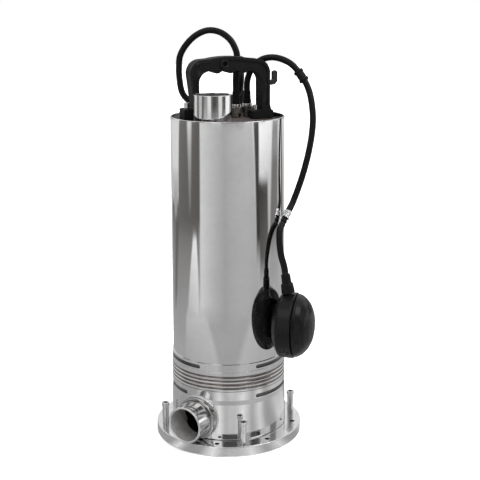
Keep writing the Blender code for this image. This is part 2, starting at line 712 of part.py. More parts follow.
def build_outlet():
    bore = OUTLET_RADIUS - OUTLET_WALL
    chamfer = 0.7
    profile = [
        (bore + chamfer, OUTLET_TOP), (OUTLET_RADIUS - chamfer, OUTLET_TOP),
        (OUTLET_RADIUS, OUTLET_TOP - chamfer), (OUTLET_RADIUS, LID_TOP + SEAT),
        (bore, LID_TOP + SEAT), (bore, OUTLET_TOP - chamfer),
    ]
    turned("outlet_stub", profile, MIDDLE_COUNT, "polished_steel", at(OUTLET_X, OUTLET_Y, 0), ring=True)


def build_gland(name, spot):
    bottom = LID_TOP + SEAT
    rod(f"{name}_gland", GLAND_RADIUS, bottom, bottom + GLAND_HEIGHT, 6, "satin_steel",
        at(*spot, 0))
    base = bottom + GLAND_HEIGHT + SEAT
    profile = [
        (0, base + BOOT_HEIGHT), (BOOT_TIP_RADIUS, base + BOOT_HEIGHT),
        (BOOT_TIP_RADIUS + 0.3, base + 4), (BOOT_BASE_RADIUS, base + 3), (BOOT_BASE_RADIUS, base),
        (0, base),
    ]
    turned(f"{name}_boot", profile, SMALL_COUNT, "black_rubber", at(*spot, 0))


def handle_matrix():
    turn = Matrix.Rotation(radians(HANDLE_TURN), 4, "Z") @ Matrix.Rotation(pi / 2, 4, "X")
    return at(HANDLE_X, HANDLE_Y, 0) @ turn


def grip_line():
    """The scalloped underside of the grip, from right to left."""
    points = []
    for i in range(GRIP_POINT_COUNT + 1):
        x = GRIP_HALF_SPAN - 2 * GRIP_HALF_SPAN * i / GRIP_POINT_COUNT
        dip = 0.5 + 0.5 * cos(2 * pi * x / GRIP_PITCH)
        points.append((x, HANDLE_WINDOW_TOP - GRIP_DEPTH * dip))
    return points


def build_handle():
    base = LID_TOP + SEAT
    width, leg, corner = HANDLE_HALF_WIDTH, HANDLE_LEG, HANDLE_WINDOW_CORNER
    shoulder = HANDLE_TOP - HANDLE_CROWN - HANDLE_SHOULDER
    inner = width - leg
    window = HANDLE_WINDOW_TOP - corner
    left_inner = -width + leg + LEG_TAPER - LEFT_LEG_FLARE
    outline = [(LEFT_FOOT_END, base), (LEFT_FOOT_END, LEFT_FOOT_TOP)]
    outline += [(-width + LEG_TAPER, LEFT_FOOT_TOP), (-width + LEG_TAPER, LEFT_FOOT_TOP + 8)]
    outline += arc((-width + HANDLE_SHOULDER, shoulder), HANDLE_SHOULDER, 180, 100, 6)
    outline += [(-CROWN_HALF, HANDLE_TOP - CROWN_FALL), (0, HANDLE_TOP),
                (CROWN_HALF, HANDLE_TOP - CROWN_FALL)]
    outline += arc((width - HANDLE_SHOULDER, shoulder), HANDLE_SHOULDER, 80, 0, 6)
    outline += [(width, RIGHT_FOOT_TOP + 7), (width + 1.5, RIGHT_FOOT_TOP + 1)]
    outline += [(RIGHT_FOOT_END, RIGHT_FOOT_TOP), (RIGHT_FOOT_END, base)]
    outline += [(RIGHT_FOOT_INNER, base), (RIGHT_FOOT_INNER, RIGHT_FOOT_TOP)]
    outline += [(inner, RIGHT_FOOT_TOP)]
    outline += arc((inner - corner, window), corner, 0, 80, 5)
    outline += grip_line()
    outline += arc((-inner + corner, window), corner, 100, 180, 5)
    outline += [(-inner, LEFT_FOOT_TOP + LEFT_FOOT_STEP), (left_inner, LEFT_FOOT_TOP - 1)]
    outline += [(left_inner, base)]
    handle = flat_outline("handle", [outline], HANDLE_HALF_DEPTH, "black_plastic", handle_matrix())
    soften(handle, HANDLE_EDGE)
    recess = rod("grip_recess", RECESS_RADIUS, HANDLE_HALF_DEPTH - RECESS_DEPTH, HANDLE_HALF_DEPTH + 3,
                 SMALL_COUNT, "black_plastic", handle_matrix() @ at(RECESS_X, HANDLE_TOP - RECESS_DROP, 0))
    cut(handle, [recess])


def build_handle_screws():
    """A screw through each foot, with its head standing on the foot."""
    for name, along_handle, depth, top in (
            ("handle_screw_left", (LEFT_FOOT_END - HANDLE_HALF_WIDTH + LEG_TAPER) / 2, 0.0,
             LEFT_FOOT_TOP),
            ("handle_screw_right", (RIGHT_FOOT_INNER + HANDLE_HALF_WIDTH - HANDLE_LEG) / 2 - 1.0,
             RIGHT_SCREW_DEPTH, RIGHT_FOOT_TOP)):
        turn = radians(HANDLE_TURN)
        x = HANDLE_X + along_handle * cos(turn) - depth * sin(turn)
        y = HANDLE_Y + along_handle * sin(turn) + depth * cos(turn)
        bottom = top + SEAT
        head = [
            (0, bottom + HANDLE_SCREW_HEIGHT), (HANDLE_SCREW_RADIUS - 0.5, bottom + HANDLE_SCREW_HEIGHT),
            (HANDLE_SCREW_RADIUS, bottom + HANDLE_SCREW_HEIGHT - 0.5), (HANDLE_SCREW_RADIUS, bottom),
            (0, bottom),
        ]
        turned(name, head, SMALL_COUNT, "satin_steel", at(x, y, 0))


def build_cable_hook():
    inner = HANDLE_HALF_WIDTH + SEAT
    outer = HANDLE_HALF_WIDTH + HOOK_REACH
    tab = outer - HOOK_TAB
    floor = HOOK_BOTTOM + HOOK_FLOOR
    outline = [
        (inner, floor + 3), (inner, HOOK_BOTTOM + 1), (inner + 2, HOOK_BOTTOM - 0.5),
        (outer - 3, HOOK_BOTTOM), (outer, HOOK_BOTTOM + 4), (outer, HOOK_TOP - 2),
        (outer - 2, HOOK_TOP), (tab, HOOK_TOP - 1.5), (tab, floor + 1), (tab - 0.8, floor),
        (inner + 0.9, floor),
    ]
    hook = flat_outline("cable_hook", [outline], HOOK_HALF_DEPTH, "black_plastic", handle_matrix())
    soften(hook, 0.7, 1)


# ================================================================================================
# Pump stages and motor
# ================================================================================================

STAGES_BOTTOM = STAGE_COVER_BOTTOM + STAGE_COVER_THICKNESS + SEAT
STAGES_TOP = STAGES_BOTTOM + STAGE_COUNT * STAGE_PITCH + 1.5
MOTOR_BOTTOM = STAGES_TOP + SEAT
SEAL_BOTTOM = MOTOR_BOTTOM + 1.0
BRACKET_BOTTOM = SEAL_BOTTOM + SEAL_HOUSING_HEIGHT + SEAT
MOTOR_INNER = STAGE_RADIUS - MOTOR_WALL
STATOR_BOTTOM = (BRACKET_BOTTOM + BRACKET_THICKNESS + MOTOR_TOP - MOTOR_END_WALL - STATOR_LENGTH) / 2
UPPER_SEAT_BOTTOM = MOTOR_TOP - 19.0
SHAFT_TOP = MOTOR_TOP - 8.0


def build_stages():
    cover_radius = CASING_INNER - SEAT - LINER_WALL - SEAT
    ring("suction_cover", cover_radius, STAGE_COVER_EYE, STAGE_COVER_BOTTOM,
         STAGE_COVER_BOTTOM + STAGE_COVER_THICKNESS, ROUND_COUNT, "satin_steel")
    ring("stage_sleeve", STAGE_RADIUS, STAGE_RADIUS - STAGE_WALL, STAGES_BOTTOM, STAGES_TOP, MIDDLE_COUNT,
         "satin_steel")
    diffuser_radius = (STAGE_RADIUS - STAGE_WALL) * cos(pi / MIDDLE_COUNT) - SEAT
    hub = SHAFT_RADIUS + SEAT
    for i in range(STAGE_COUNT):
        bottom = STAGES_BOTTOM + STAGE_PITCH * i
        top = bottom + STAGE_PITCH
        ring(f"diffuser_{i + 1}", diffuser_radius, SHAFT_RADIUS + 2.5, top - DIFFUSER_THICKNESS, top,
             MIDDLE_COUNT, "noryl")
        low = bottom + 3.0
        high = low + IMPELLER_THICKNESS
        profile = [
            (hub + 4, high + 3), (hub + 6, high), (IMPELLER_RADIUS, high - 3),
            (IMPELLER_RADIUS, low + 3), (STAGE_COVER_EYE, low), (hub + 5, low + 2), (hub, low + 2),
            (hub, high + 3),
        ]
        turned(f"impeller_{i + 1}", profile, INNER_COUNT, "noryl", ring=True)


def build_motor():
    top = MOTOR_TOP
    pocket = BEARING_RADIUS + SEAT
    profile = [
        (0, top), (STAGE_RADIUS, top), (STAGE_RADIUS, MOTOR_BOTTOM), (MOTOR_INNER, MOTOR_BOTTOM),
        (MOTOR_INNER, top - MOTOR_END_WALL), (pocket + BEARING_SEAT_WALL, top - MOTOR_END_WALL),
        (pocket + BEARING_SEAT_WALL, UPPER_SEAT_BOTTOM), (pocket, UPPER_SEAT_BOTTOM),
        (pocket, top - 5), (0, top - 5),
    ]
    turned("motor_can", profile, MIDDLE_COUNT, "satin_steel")
    inside = MOTOR_INNER * cos(pi / MIDDLE_COUNT) - SEAT
    hub = SHAFT_RADIUS + SEAT
    rod("motor_shaft", SHAFT_RADIUS, SHAFT_BOTTOM, SHAFT_TOP, 16, "satin_steel")
    rotor_bottom = STATOR_BOTTOM + (STATOR_LENGTH - ROTOR_LENGTH) / 2
    ring("rotor", ROTOR_RADIUS, hub, rotor_bottom, rotor_bottom + ROTOR_LENGTH, INNER_COUNT, "lamination")
    stator_bore = (ROTOR_RADIUS + RUNNING) / cos(pi / INNER_COUNT)
    ring("stator", inside, stator_bore, STATOR_BOTTOM, STATOR_BOTTOM + STATOR_LENGTH, INNER_COUNT,
         "lamination")
    for name, bottom in (("lower", STATOR_BOTTOM - SEAT - WINDING_HEIGHT),
                         ("upper", STATOR_BOTTOM + STATOR_LENGTH + SEAT)):
        ring(f"winding_{name}", inside - 5, ROTOR_RADIUS + 6, bottom, bottom + WINDING_HEIGHT,
             INNER_COUNT, "copper")
    bearing_outer = BEARING_RADIUS
    for name, bottom in (("upper", UPPER_SEAT_BOTTOM + 1.0),
                         ("lower", BRACKET_BOTTOM + 2.5)):
        ring(f"bearing_{name}", bearing_outer, hub, bottom, bottom + BEARING_HEIGHT, INNER_COUNT,
             "satin_steel")
    bearing_seat = (BEARING_RADIUS + SEAT) / cos(pi / INNER_COUNT)
    ring("bearing_bracket", inside, bearing_seat, BRACKET_BOTTOM, BRACKET_BOTTOM + BRACKET_THICKNESS,
         INNER_COUNT, "cast_steel")
    seal_seat = (SEAL_RADIUS + SEAT) / cos(pi / INNER_COUNT)
    ring("seal_housing", inside, seal_seat, SEAL_BOTTOM, SEAL_BOTTOM + SEAL_HOUSING_HEIGHT, INNER_COUNT,
         "cast_steel")
    ring("shaft_seal", SEAL_RADIUS, hub, SEAL_BOTTOM + 1, SEAL_BOTTOM + SEAL_HOUSING_HEIGHT - 1,
         INNER_COUNT, "ceramic")
    ring("cable_duct", DUCT_RADIUS, DUCT_RADIUS - DUCT_WALL, MOTOR_TOP + SEAT,
         LID_TOP - LID_THICKNESS - SEAT, INNER_COUNT, "satin_steel", at(DUCT_X, DUCT_Y, 0))


# ================================================================================================
# Mains lead: loop, coil, tie and plug
# ================================================================================================

def build_power_lead():
    lead = smooth_route(POWER_ROUTE, POINT_SPACING)
    tail = smooth_route(PLUG_ROUTE, POINT_SPACING * 0.7)
    tube("power_cable", lead, "black_rubber")
    tube("power_coil", COIL, "black_rubber", 1)
    tube("power_cable_end", tail, "black_rubber")
    total = (route_length(lead) + route_length(COIL) + route_length(tail)) * MM
    print(f"power lead {total:.3f} m, its coil {route_length(COIL) * MM:.3f} m")
    print(f"least gap between the coil's turns {least_self_gap(COIL):.2f} mm")


def build_coil_tie():
    """A strap round the coil's section, on its left side."""
    inner = COIL_INNER_RADIUS - CABLE_RADIUS - 0.6
    outer = COIL_START_RADIUS + CABLE_RADIUS + 0.6
    low, high = COIL_REST - 0.5, COIL_TOP + 0.5
    corner = 2.0

    def rounded(grow):
        box = (inner - grow, outer + grow, low - grow, high + grow)
        spots = ((box[1] - corner, box[3] - corner, 0), (box[0] + corner, box[3] - corner, 90),
                 (box[0] + corner, box[2] + corner, 180), (box[1] - corner, box[2] + corner, 270))
        outline = []
        for x, y, first in spots:
            outline += arc((x, y), corner, first, first + 90, 3)
        return outline

    matrix = at(COIL_X, COIL_Y, 0) @ Matrix.Rotation(pi, 4, "Z") @ Matrix.Rotation(pi / 2, 4, "X")
    flat_outline("coil_tie", [rounded(TIE_WALL), rounded(0.0)], TIE_HALF_WIDTH, "black_plastic", matrix)


def build_plug():
    length = PLUG_BOOT_LENGTH + PLUG_LENGTH
    profile = [
        (0, length), (PLUG_RADIUS - 1.5, length), (PLUG_RADIUS, length - 1.5),
        (PLUG_RADIUS, PLUG_BOOT_LENGTH + 12), (PLUG_RADIUS - 3.5, PLUG_BOOT_LENGTH + 4),
        (PLUG_RADIUS - 7.5, PLUG_BOOT_LENGTH), (CABLE_RADIUS + 0.8, 0), (0, 0),
    ]
    turned("plug_body", profile, INNER_COUNT, "black_rubber", along(PLUG_ENTRY, PLUG_HEADING))
    heading = Vector(PLUG_HEADING)
    sideways = Vector((-heading.y, heading.x, 0))
    for i, side in enumerate((-0.5, 0.5)):
        foot = Vector(PLUG_ENTRY) + heading * (length + SEAT) + sideways * PIN_SPACING * side
        profile = [
            (0, PIN_LENGTH), (PIN_RADIUS - 0.8, PIN_LENGTH), (PIN_RADIUS, PIN_LENGTH - 1.2),
            (PIN_RADIUS, 0), (0, 0),
        ]
        turned(f"plug_pin_{i + 1}", profile, 12, "brass", along(tuple(foot), PLUG_HEADING))


# ================================================================================================
# Float switch and its lead
# ================================================================================================

def build_float_lead():
    upper = smooth_route(FLOAT_UPPER_ROUTE, POINT_SPACING)
    lower = smooth_route(FLOAT_LOWER_ROUTE, POINT_SPACING * 0.5)
    tube("float_cable_upper", upper, "black_rubber")
    tube("float_cable_lower", lower, "black_rubber")
    print(f"float lead {(route_length(upper) + route_length(lower)) * MM:.3f} m")
    profile = [(0, BEAD_RADIUS), (BEAD_RADIUS * 0.5, BEAD_RADIUS * 0.866),
               (BEAD_RADIUS * 0.866, BEAD_RADIUS * 0.5), (BEAD_RADIUS, 0),
               (BEAD_RADIUS * 0.866, -BEAD_RADIUS * 0.5), (BEAD_RADIUS * 0.5, -BEAD_RADIUS * 0.866),
               (0, -BEAD_RADIUS)]
    turned("cable_bead", profile, 12, "black_rubber", along(SWING_POINT, SWING_HEADING))


def build_cable_clips():
    upper = smooth_route(FLOAT_UPPER_ROUTE, POINT_SPACING)
    spans = [((a + b) / 2, b - a) for a, b in zip(upper, upper[1:])]
    middle, heading = min(spans, key=lambda span: (span[0] - Vector(SLEEVE_SPOT)).length)
    half = SLEEVE_CLIP_LENGTH / 2
    bore = CABLE_RADIUS + 0.75
    profile = [
        (SLEEVE_CLIP_RADIUS, half), (SLEEVE_CLIP_RADIUS, half - 2.5),
        (SLEEVE_CLIP_RADIUS - 0.7, half - 3), (SLEEVE_CLIP_RADIUS - 0.7, -half + 3),
        (SLEEVE_CLIP_RADIUS, -half + 2.5), (SLEEVE_CLIP_RADIUS, -half), (bore, -half), (bore, half),
    ]
    turned("cable_sleeve", profile, SMALL_COUNT, "black_plastic", along(tuple(middle), heading), ring=True)
    ring("body_clip", BODY_CLIP_RADIUS, CABLE_RADIUS + 2 * SEAT, 0, BODY_CLIP_LENGTH - 0.5, SMALL_COUNT,
         "clear_plastic", along(tuple(CLIP_END), SWING_UP))


def build_float():
    matrix = along(FLOAT_CENTRE, around(FLOAT_AZIMUTH))
    radius = FLOAT_RADIUS
    seam = FLOAT_SEAM
    inner_profile = [
        (0, seam), (radius - 2.6, seam), (radius - 1.0, seam - 0.3), (radius, seam - 1.4),
        (radius, -11.0), (radius - 1.2, -13.6), (radius - 4.5, -15.6), (radius - 10, -19.3),
        (radius - 19, -22.4), (0, -FLOAT_INNER_DEPTH),
    ]
    outer_profile = [
        (0, FLOAT_OUTER_DEPTH), (9, FLOAT_OUTER_DEPTH - 0.5), (18, FLOAT_OUTER_DEPTH - 2.4),
        (26, FLOAT_OUTER_DEPTH - 6.2), (31.5, FLOAT_OUTER_DEPTH - 11), (34.6, FLOAT_OUTER_DEPTH - 15.5),
        (radius - 1.4, seam + 1.6), (radius - 2.6, seam + SEAT), (0, seam + SEAT),
    ]
    turned("float_shell_inner", inner_profile, MIDDLE_COUNT, "black_plastic", matrix)
    turned("float_shell_outer", outer_profile, MIDDLE_COUNT, "black_plastic", matrix)
    profile = [
        (0, RELIEF_LENGTH), (RELIEF_TIP_RADIUS, RELIEF_LENGTH),
        (RELIEF_TIP_RADIUS + 0.4, RELIEF_LENGTH / 2),
        (RELIEF_BASE_RADIUS, RELIEF_LENGTH / 2 - 0.5), (RELIEF_BASE_RADIUS + 0.3, 0), (0, 0),
    ]
    turned("float_relief", profile, SMALL_COUNT, "black_rubber", along(tuple(RELIEF_BASE), RELIEF_UP))


build_base_flange()
build_flange_bolts()
build_suction_casing()
build_inlet()
build_ribbed_collar()
build_slotted_band()
build_slot_liner()
build_outer_jacket()
build_lid()
build_outlet()
build_gland("power", POWER_GLAND)
build_gland("float", FLOAT_GLAND)
build_handle()
build_handle_screws()
build_cable_hook()
build_stages()
build_motor()
build_power_lead()
build_coil_tie()
build_plug()
build_float_lead()
build_cable_clips()
build_float()
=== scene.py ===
"""Looks of the submersible sump pump: polished steel body, black handle, leads and float.

Sizes are in millimetres, turned into metres when a mesh is made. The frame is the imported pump,
with its origin at the centre of the flange's underside, +Z up the shaft and -Y to the front.
"""

from math import acos, cos, degrees, hypot, pi, radians, sin, sqrt, tan

import bmesh
import bpy
from mathutils import Matrix, Vector


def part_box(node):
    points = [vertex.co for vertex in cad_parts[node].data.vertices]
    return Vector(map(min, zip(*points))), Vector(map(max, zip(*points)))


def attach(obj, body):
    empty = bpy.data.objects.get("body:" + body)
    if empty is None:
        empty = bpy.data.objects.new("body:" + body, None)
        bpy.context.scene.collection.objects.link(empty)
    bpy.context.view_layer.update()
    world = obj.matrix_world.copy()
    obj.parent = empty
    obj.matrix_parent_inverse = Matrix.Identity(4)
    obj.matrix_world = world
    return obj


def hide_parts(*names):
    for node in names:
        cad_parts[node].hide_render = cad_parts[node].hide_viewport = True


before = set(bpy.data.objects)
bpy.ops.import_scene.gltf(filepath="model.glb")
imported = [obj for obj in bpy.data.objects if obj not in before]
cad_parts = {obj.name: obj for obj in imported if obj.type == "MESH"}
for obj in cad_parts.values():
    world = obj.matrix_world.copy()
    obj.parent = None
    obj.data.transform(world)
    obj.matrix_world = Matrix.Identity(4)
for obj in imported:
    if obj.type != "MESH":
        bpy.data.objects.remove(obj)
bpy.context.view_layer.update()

MM = 0.001


# ======== Sizes, worked from the frame's nodes where a node gives them ========

def box_mm(node):
    """A node's lowest and highest corners in millimetres."""
    low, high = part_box(node)
    return low / MM, high / MM


def radius_of(node):
    low, high = box_mm(node)
    return (high.x - low.x) / 2


def top_of(node):
    return box_mm(node)[1].z


SEAT = 0.3  # gap between pieces that rest on each other
SEAM = 0.02  # gap between the rings of the shell

FLANGE_RADIUS, FLANGE_TOP = radius_of("base_flange"), top_of("base_flange")
CASING_RADIUS, CASING_TOP = radius_of("suction_casing"), top_of("suction_casing")
CASING_STEP = CASING_TOP - 11.1
CASING_WALL = 2.2
CASING_INNER = CASING_RADIUS - CASING_WALL
COLLAR_RADIUS, COLLAR_TOP = radius_of("ribbed_collar"), top_of("ribbed_collar")
BAND_TOP = top_of("slotted_band")
JACKET_RADIUS, JACKET_TOP = radius_of("outer_jacket"), top_of("outer_jacket")
JACKET_WALL = 1.5
JACKET_STEPS = 256
LID_TOP = top_of("top_lid")
outlet_low, outlet_high = box_mm("outlet_stub")
OUTLET_SPOT = ((outlet_low.x + outlet_high.x) / 2, (outlet_low.y + outlet_high.y) / 2)
OUTLET_RADIUS, OUTLET_TOP = radius_of("outlet_stub"), top_of("outlet_stub")
OUTLET_WALL = 2.5

SLOT_HEIGHT = 4.3
SLOT_START = 28.5  # degrees from the front
SLOT_SWEEP = 63.0
INLET_SIDE_SWEEP = 46.5  # of the slot on the inlet's side
UPPER_SLOT_STARTS = (SLOT_START, 148.5, -91.5)
UPPER_SLOT_BOTTOM = COLLAR_TOP + 2.0
LOWER_SLOT_BOTTOM = CASING_STEP + 1.5

INLET_AZIMUTH = -31.5
INLET_HEIGHT = 35.5
INLET_RADIUS = 21.2
INLET_WALL = 2.4
INLET_ROOT = CASING_RADIUS - 14.0
INLET_REACH = CASING_RADIUS + 27.0
INLET_COLLAR_RADIUS = 24.2
INLET_COLLAR_REACH = CASING_RADIUS + 5.0
BEAD_LIFT = 0.35  # of the weld bead's line above the casing's wall

BOLT_AZIMUTH = 13.0
BOLT_CIRCLE = (CASING_RADIUS + SEAT + FLANGE_RADIUS) / 2
BOLT_TOP = top_of("flange_bolt_1")
BOLT_COUNT = 4
PLAIN_HOLES = 8

GLAND_HEIGHT = 9.0  # of the solid, whose top the boot's top follows
BOOT_HEIGHT = 20.0
BOOT_TOP = LID_TOP + SEAT + GLAND_HEIGHT + SEAT + BOOT_HEIGHT
POWER_GLAND = (9.6, 36.0)
FLOAT_GLAND = (22.6, 47.5)

HANDLE_SPOT = (-2.0, 16.0)
HANDLE_TURN = 18.0
HANDLE_SLIDE = 2.8  # along the grip, as the photograph shows it
HANDLE_TOP = top_of("handle")
HANDLE_HALF_DEPTH = 11.0
HANDLE_HALF_WIDTH = 47.5
HANDLE_LEG = 10.5
HANDLE_INNER = HANDLE_HALF_WIDTH - HANDLE_LEG
WINDOW_TOP = HANDLE_TOP - 16.0
WINDOW_CORNER = 13.0
WINDOW_SIDE_TOP = WINDOW_TOP - WINDOW_CORNER
SHOULDER = 16.0
SHOULDER_HEIGHT = HANDLE_TOP - 3.0 - SHOULDER
LEFT_FOOT_TOP = LID_TOP + 13.5
RIGHT_FOOT_TOP = LID_TOP + 9.0
LEFT_FOOT_REACH = 7.5
RIGHT_FOOT_REACH = 4.0
RIGHT_FOOT_LENGTH = 21.0  # inwards from the leg's outer side
GRIP_HALF_SPAN = 24.0
FINGER_PITCH = 16.0
FINGER_DEPTH = 2.9
MARK = (-6.8, HANDLE_TOP - 7.9)  # the round boss on the grip

CABLE_RADIUS = 3.75
BEAD_RADIUS = 3.75
CLIP_SPAN = 11.0  # of the lead that the clear clip holds straight

FLOAT_CENTRE = (74.2, -50.2, 142.8)
FLOAT_AZIMUTH = 74.0
FLOAT_RADIUS = 37.0
FLOAT_SEAM = 3.4
FLOAT_DEPTH = 23.5
FLOAT_STEPS = 128

ROUND = 192  # facets round the large steel pieces
FINE = 96  # facets round the stubs and the plug
SMALL = 40  # facets round screws and boots


# ======== Places, outlines and meshes ========

def at(x, y, z):
    return Matrix.Translation((x * MM, y * MM, z * MM))


def along(start, heading):
    """A matrix that puts local +Z along heading at start."""
    return at(*start) @ Vector(heading).to_track_quat("Z", "Y").to_matrix().to_4x4()


def around(azimuth):
    """The unit direction that lies azimuth degrees from the front, -Y, towards +X."""
    return Vector((sin(radians(azimuth)), -cos(radians(azimuth)), 0.0))


def between(first, last, share):
    return first + (last - first) * share


def arc(centre, radius, first, last, count):
    """Points on an arc, with angles in degrees from +X."""
    steps = [radians(first + (last - first) * i / (count - 1)) for i in range(count)]
    return [(centre[0] + radius * cos(a), centre[1] + radius * sin(a)) for a in steps]


def hexagon(radius, turn=0.0):
    return [(radius * cos(radians(60 * i + turn)), radius * sin(radians(60 * i + turn)))
            for i in range(6)]


def rounded_corner(before, corner, after, radius, steps=5):
    """Points that replace a corner of an outline by a curve that touches both of its sides."""
    corner, into, out = Vector(corner), Vector(before) - Vector(corner), Vector(after) - Vector(corner)
    reach_in, reach_out = into.length, out.length
    into.normalize()
    out.normalize()
    half = acos(max(-1.0, min(1.0, into.dot(out)))) / 2
    if radius <= 0 or half < radians(8) or half > radians(88):
        return [tuple(corner)]
    reach = min(radius / tan(half), reach_in * 0.49, reach_out * 0.49)
    start, end = corner + into * reach, corner + out * reach
    shares = [i / steps for i in range(steps + 1)]
    return [tuple(start * (1 - t) ** 2 + corner * 2 * t * (1 - t) + end * t ** 2) for t in shares]


def softened(outline, radius, closed=True, steps=5):
    """An outline with its corners rounded. radius is one number, or one for each point."""
    count = len(outline)
    radii = radius if isinstance(radius, (list, tuple)) else [radius] * count
    points = []
    for i, corner in enumerate(outline):
        if not closed and i in (0, count - 1):
            points.append(tuple(corner))
        else:
            points += rounded_corner(outline[i - 1], corner, outline[(i + 1) % count], radii[i], steps)
    return points


def rounded_box(low_x, high_x, low_z, high_z, radius):
    return softened([(high_x, high_z), (low_x, high_z), (low_x, low_z), (high_x, low_z)], radius, steps=6)


def mesh_from(points, edges=(), faces=()):
    mesh = bpy.data.meshes.new("blank")
    mesh.from_pydata([tuple(c * MM for c in p) for p in points], list(edges), list(faces))
    return mesh


def line_from(points):
    return mesh_from(points, [(i, i + 1) for i in range(len(points) - 1)])


def reworked(mesh, work_on):
    """The same mesh after work_on has changed a bmesh of it, with its faces turned outwards."""
    work = bmesh.new()
    work.from_mesh(mesh)
    work_on(work)
    bmesh.ops.recalc_face_normals(work, faces=work.faces)
    work.to_mesh(mesh)
    work.free()
    return mesh


def cleaned(mesh, merge=0.000002):
    """Merge doubles and turn the faces outwards."""
    def merge_doubles(work):
        bmesh.ops.remove_doubles(work, verts=work.verts, dist=merge)
        bmesh.ops.dissolve_degenerate(work, edges=work.edges, dist=merge / 2)

    return reworked(mesh, merge_doubles)


def loose_object(name, data):
    piece = bpy.data.objects.new(name, data)
    bpy.context.scene.collection.objects.link(piece)
    return piece


def modified(mesh, kind, **settings):
    """The mesh that a modifier makes of another one."""
    piece = loose_object("blank", mesh)
    modifier = piece.modifiers.new("change", kind)
    for key, value in settings.items():
        setattr(modifier, key, value)
    return result_mesh(piece)


def result_mesh(piece):
    """The mesh that an object's modifiers give. The object is removed."""
    bpy.context.view_layer.update()
    evaluated = piece.evaluated_get(bpy.context.evaluated_depsgraph_get())
    mesh = bpy.data.meshes.new_from_object(evaluated)
    mesh.transform(piece.matrix_world)
    bpy.data.objects.remove(piece, do_unlink=True)
    return mesh


def shaded(mesh, sharp=34):
    mesh.shade_smooth()
    mesh.set_sharp_from_angle(angle=radians(sharp))
    return mesh


def finished(name, mesh, material, nodes=(), body="pump", sharp=34):
    """Make a mesh a piece of the pump that rides on a body and stands for CAD nodes.

    Its corners' normals follow the large faces, so that flat walls reflect flat.
    """
    mesh = modified(shaded(mesh, sharp), "WEIGHTED_NORMAL", mode="FACE_AREA", weight=50, keep_sharp=True)
    mesh.name = name
    piece = loose_object(name, mesh)
    mesh.materials.clear()
    mesh.materials.append(material)
    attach(piece, body)
    if nodes:
        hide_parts(*nodes)
    return piece


def cut(mesh, cutters, operation="DIFFERENCE"):
    """A mesh after one or more cutter meshes have been taken out of it."""
    piece = loose_object("blank", mesh)
    tools = [loose_object("cutter", cutter) for cutter in cutters]
    for tool in tools:
        boolean = piece.modifiers.new("cut", "BOOLEAN")
        boolean.operation, boolean.solver, boolean.object = operation, "EXACT", tool
    mesh = result_mesh(piece)
    for tool in tools:
        bpy.data.objects.remove(tool, do_unlink=True)
    return cleaned(mesh)


def beveled(mesh, width, segments, angle):
    """The same mesh with its edges broken where they are sharper than angle."""
    return cleaned(modified(mesh, "BEVEL", width=width * MM, segments=segments, limit_method="ANGLE",
                            angle_limit=radians(angle), use_clamp_overlap=True))


def extruded(outline, half_depth, edge=0.0, segments=4):
    """A closed outline of (x, y) points extruded both ways along Z, with rounded edges."""
    def extrude(work):
        face = work.faces.new([work.verts.new((x * MM, y * MM, half_depth * MM)) for x, y in outline])
        grown = bmesh.ops.extrude_face_region(work, geom=[face])
        verts = [v for v in grown["geom"] if isinstance(v, bmesh.types.BMVert)]
        bmesh.ops.translate(work, verts=verts, vec=(0, 0, -2 * half_depth * MM))
        if edge:
            rims = [e for e in work.edges if abs(e.verts[0].co.z - e.verts[1].co.z) < 1e-7]
            bmesh.ops.bevel(work, geom=rims, offset=edge * MM, segments=segments, profile=0.5,
                            affect="EDGES", clamp_overlap=True)

    return reworked(mesh_from([]), extrude)


# ======== Node groups, and the sums that their nodes work out ========

class Value:
    """An output of a node. A sum done with it adds a maths node."""

    def __init__(self, wires, socket):
        self.wires, self.socket = wires, socket

    def __add__(self, other):
        return self.wires.maths("ADD", self, other)

    def __sub__(self, other):
        return self.wires.maths("SUBTRACT", self, other)

    def __rsub__(self, other):
        return self.wires.maths("SUBTRACT", other, self)

    def __mul__(self, other):
        return self.wires.maths("MULTIPLY", self, other)

    def __truediv__(self, other):
        return self.wires.maths("DIVIDE", self, other)

    def __pow__(self, other):
        return self.wires.maths("POWER", self, other)


class Wires:
    """Adds nodes to a tree, with inputs that are constants or other nodes' outputs."""

    def __init__(self, tree):
        self.tree = tree
        ends = {n.bl_idname: n for n in tree.nodes if n.bl_idname.startswith("NodeGroup")}
        if ends:
            self.given = {s.name: Value(self, s) for s in ends["NodeGroupInput"].outputs}
            self.result = ends["NodeGroupOutput"].inputs

    def feed(self, target, value):
        if isinstance(value, Value):
            self.tree.links.new(value.socket, target)
        else:
            target.default_value = value

    def node(self, kind, inputs=None, **settings):
        """Add a node with its settings, then its inputs by name or number. Returns its outputs."""
        made = self.tree.nodes.new(kind)
        for key, value in settings.items():
            setattr(made, key, value)
        for key, value in (inputs or {}).items():
            self.feed(made.inputs[key], value)
        return {key: Value(self, socket) for i, socket in enumerate(made.outputs)
                for key in (i, socket.name)}

    def maths(self, operation, *values):
        return self.node("ShaderNodeMath", dict(enumerate(values)), operation=operation)[0]

    def whole(self, operation, *values):
        return self.node("FunctionNodeIntegerMath", dict(enumerate(values)), operation=operation)[0]

    def vector(self, x, y, z):
        return self.node("ShaderNodeCombineXYZ", {0: x, 1: y, 2: z})[0]

    def split(self, vector):
        parts = self.node("ShaderNodeSeparateXYZ", {0: vector})
        return parts["X"], parts["Y"], parts["Z"]

    def either(self, switch, first, second):
        """first where the switch is 0 and second where it is 1."""
        return self.node("ShaderNodeMix", {0: switch, 2: first, 3: second}, data_type="FLOAT")[0]


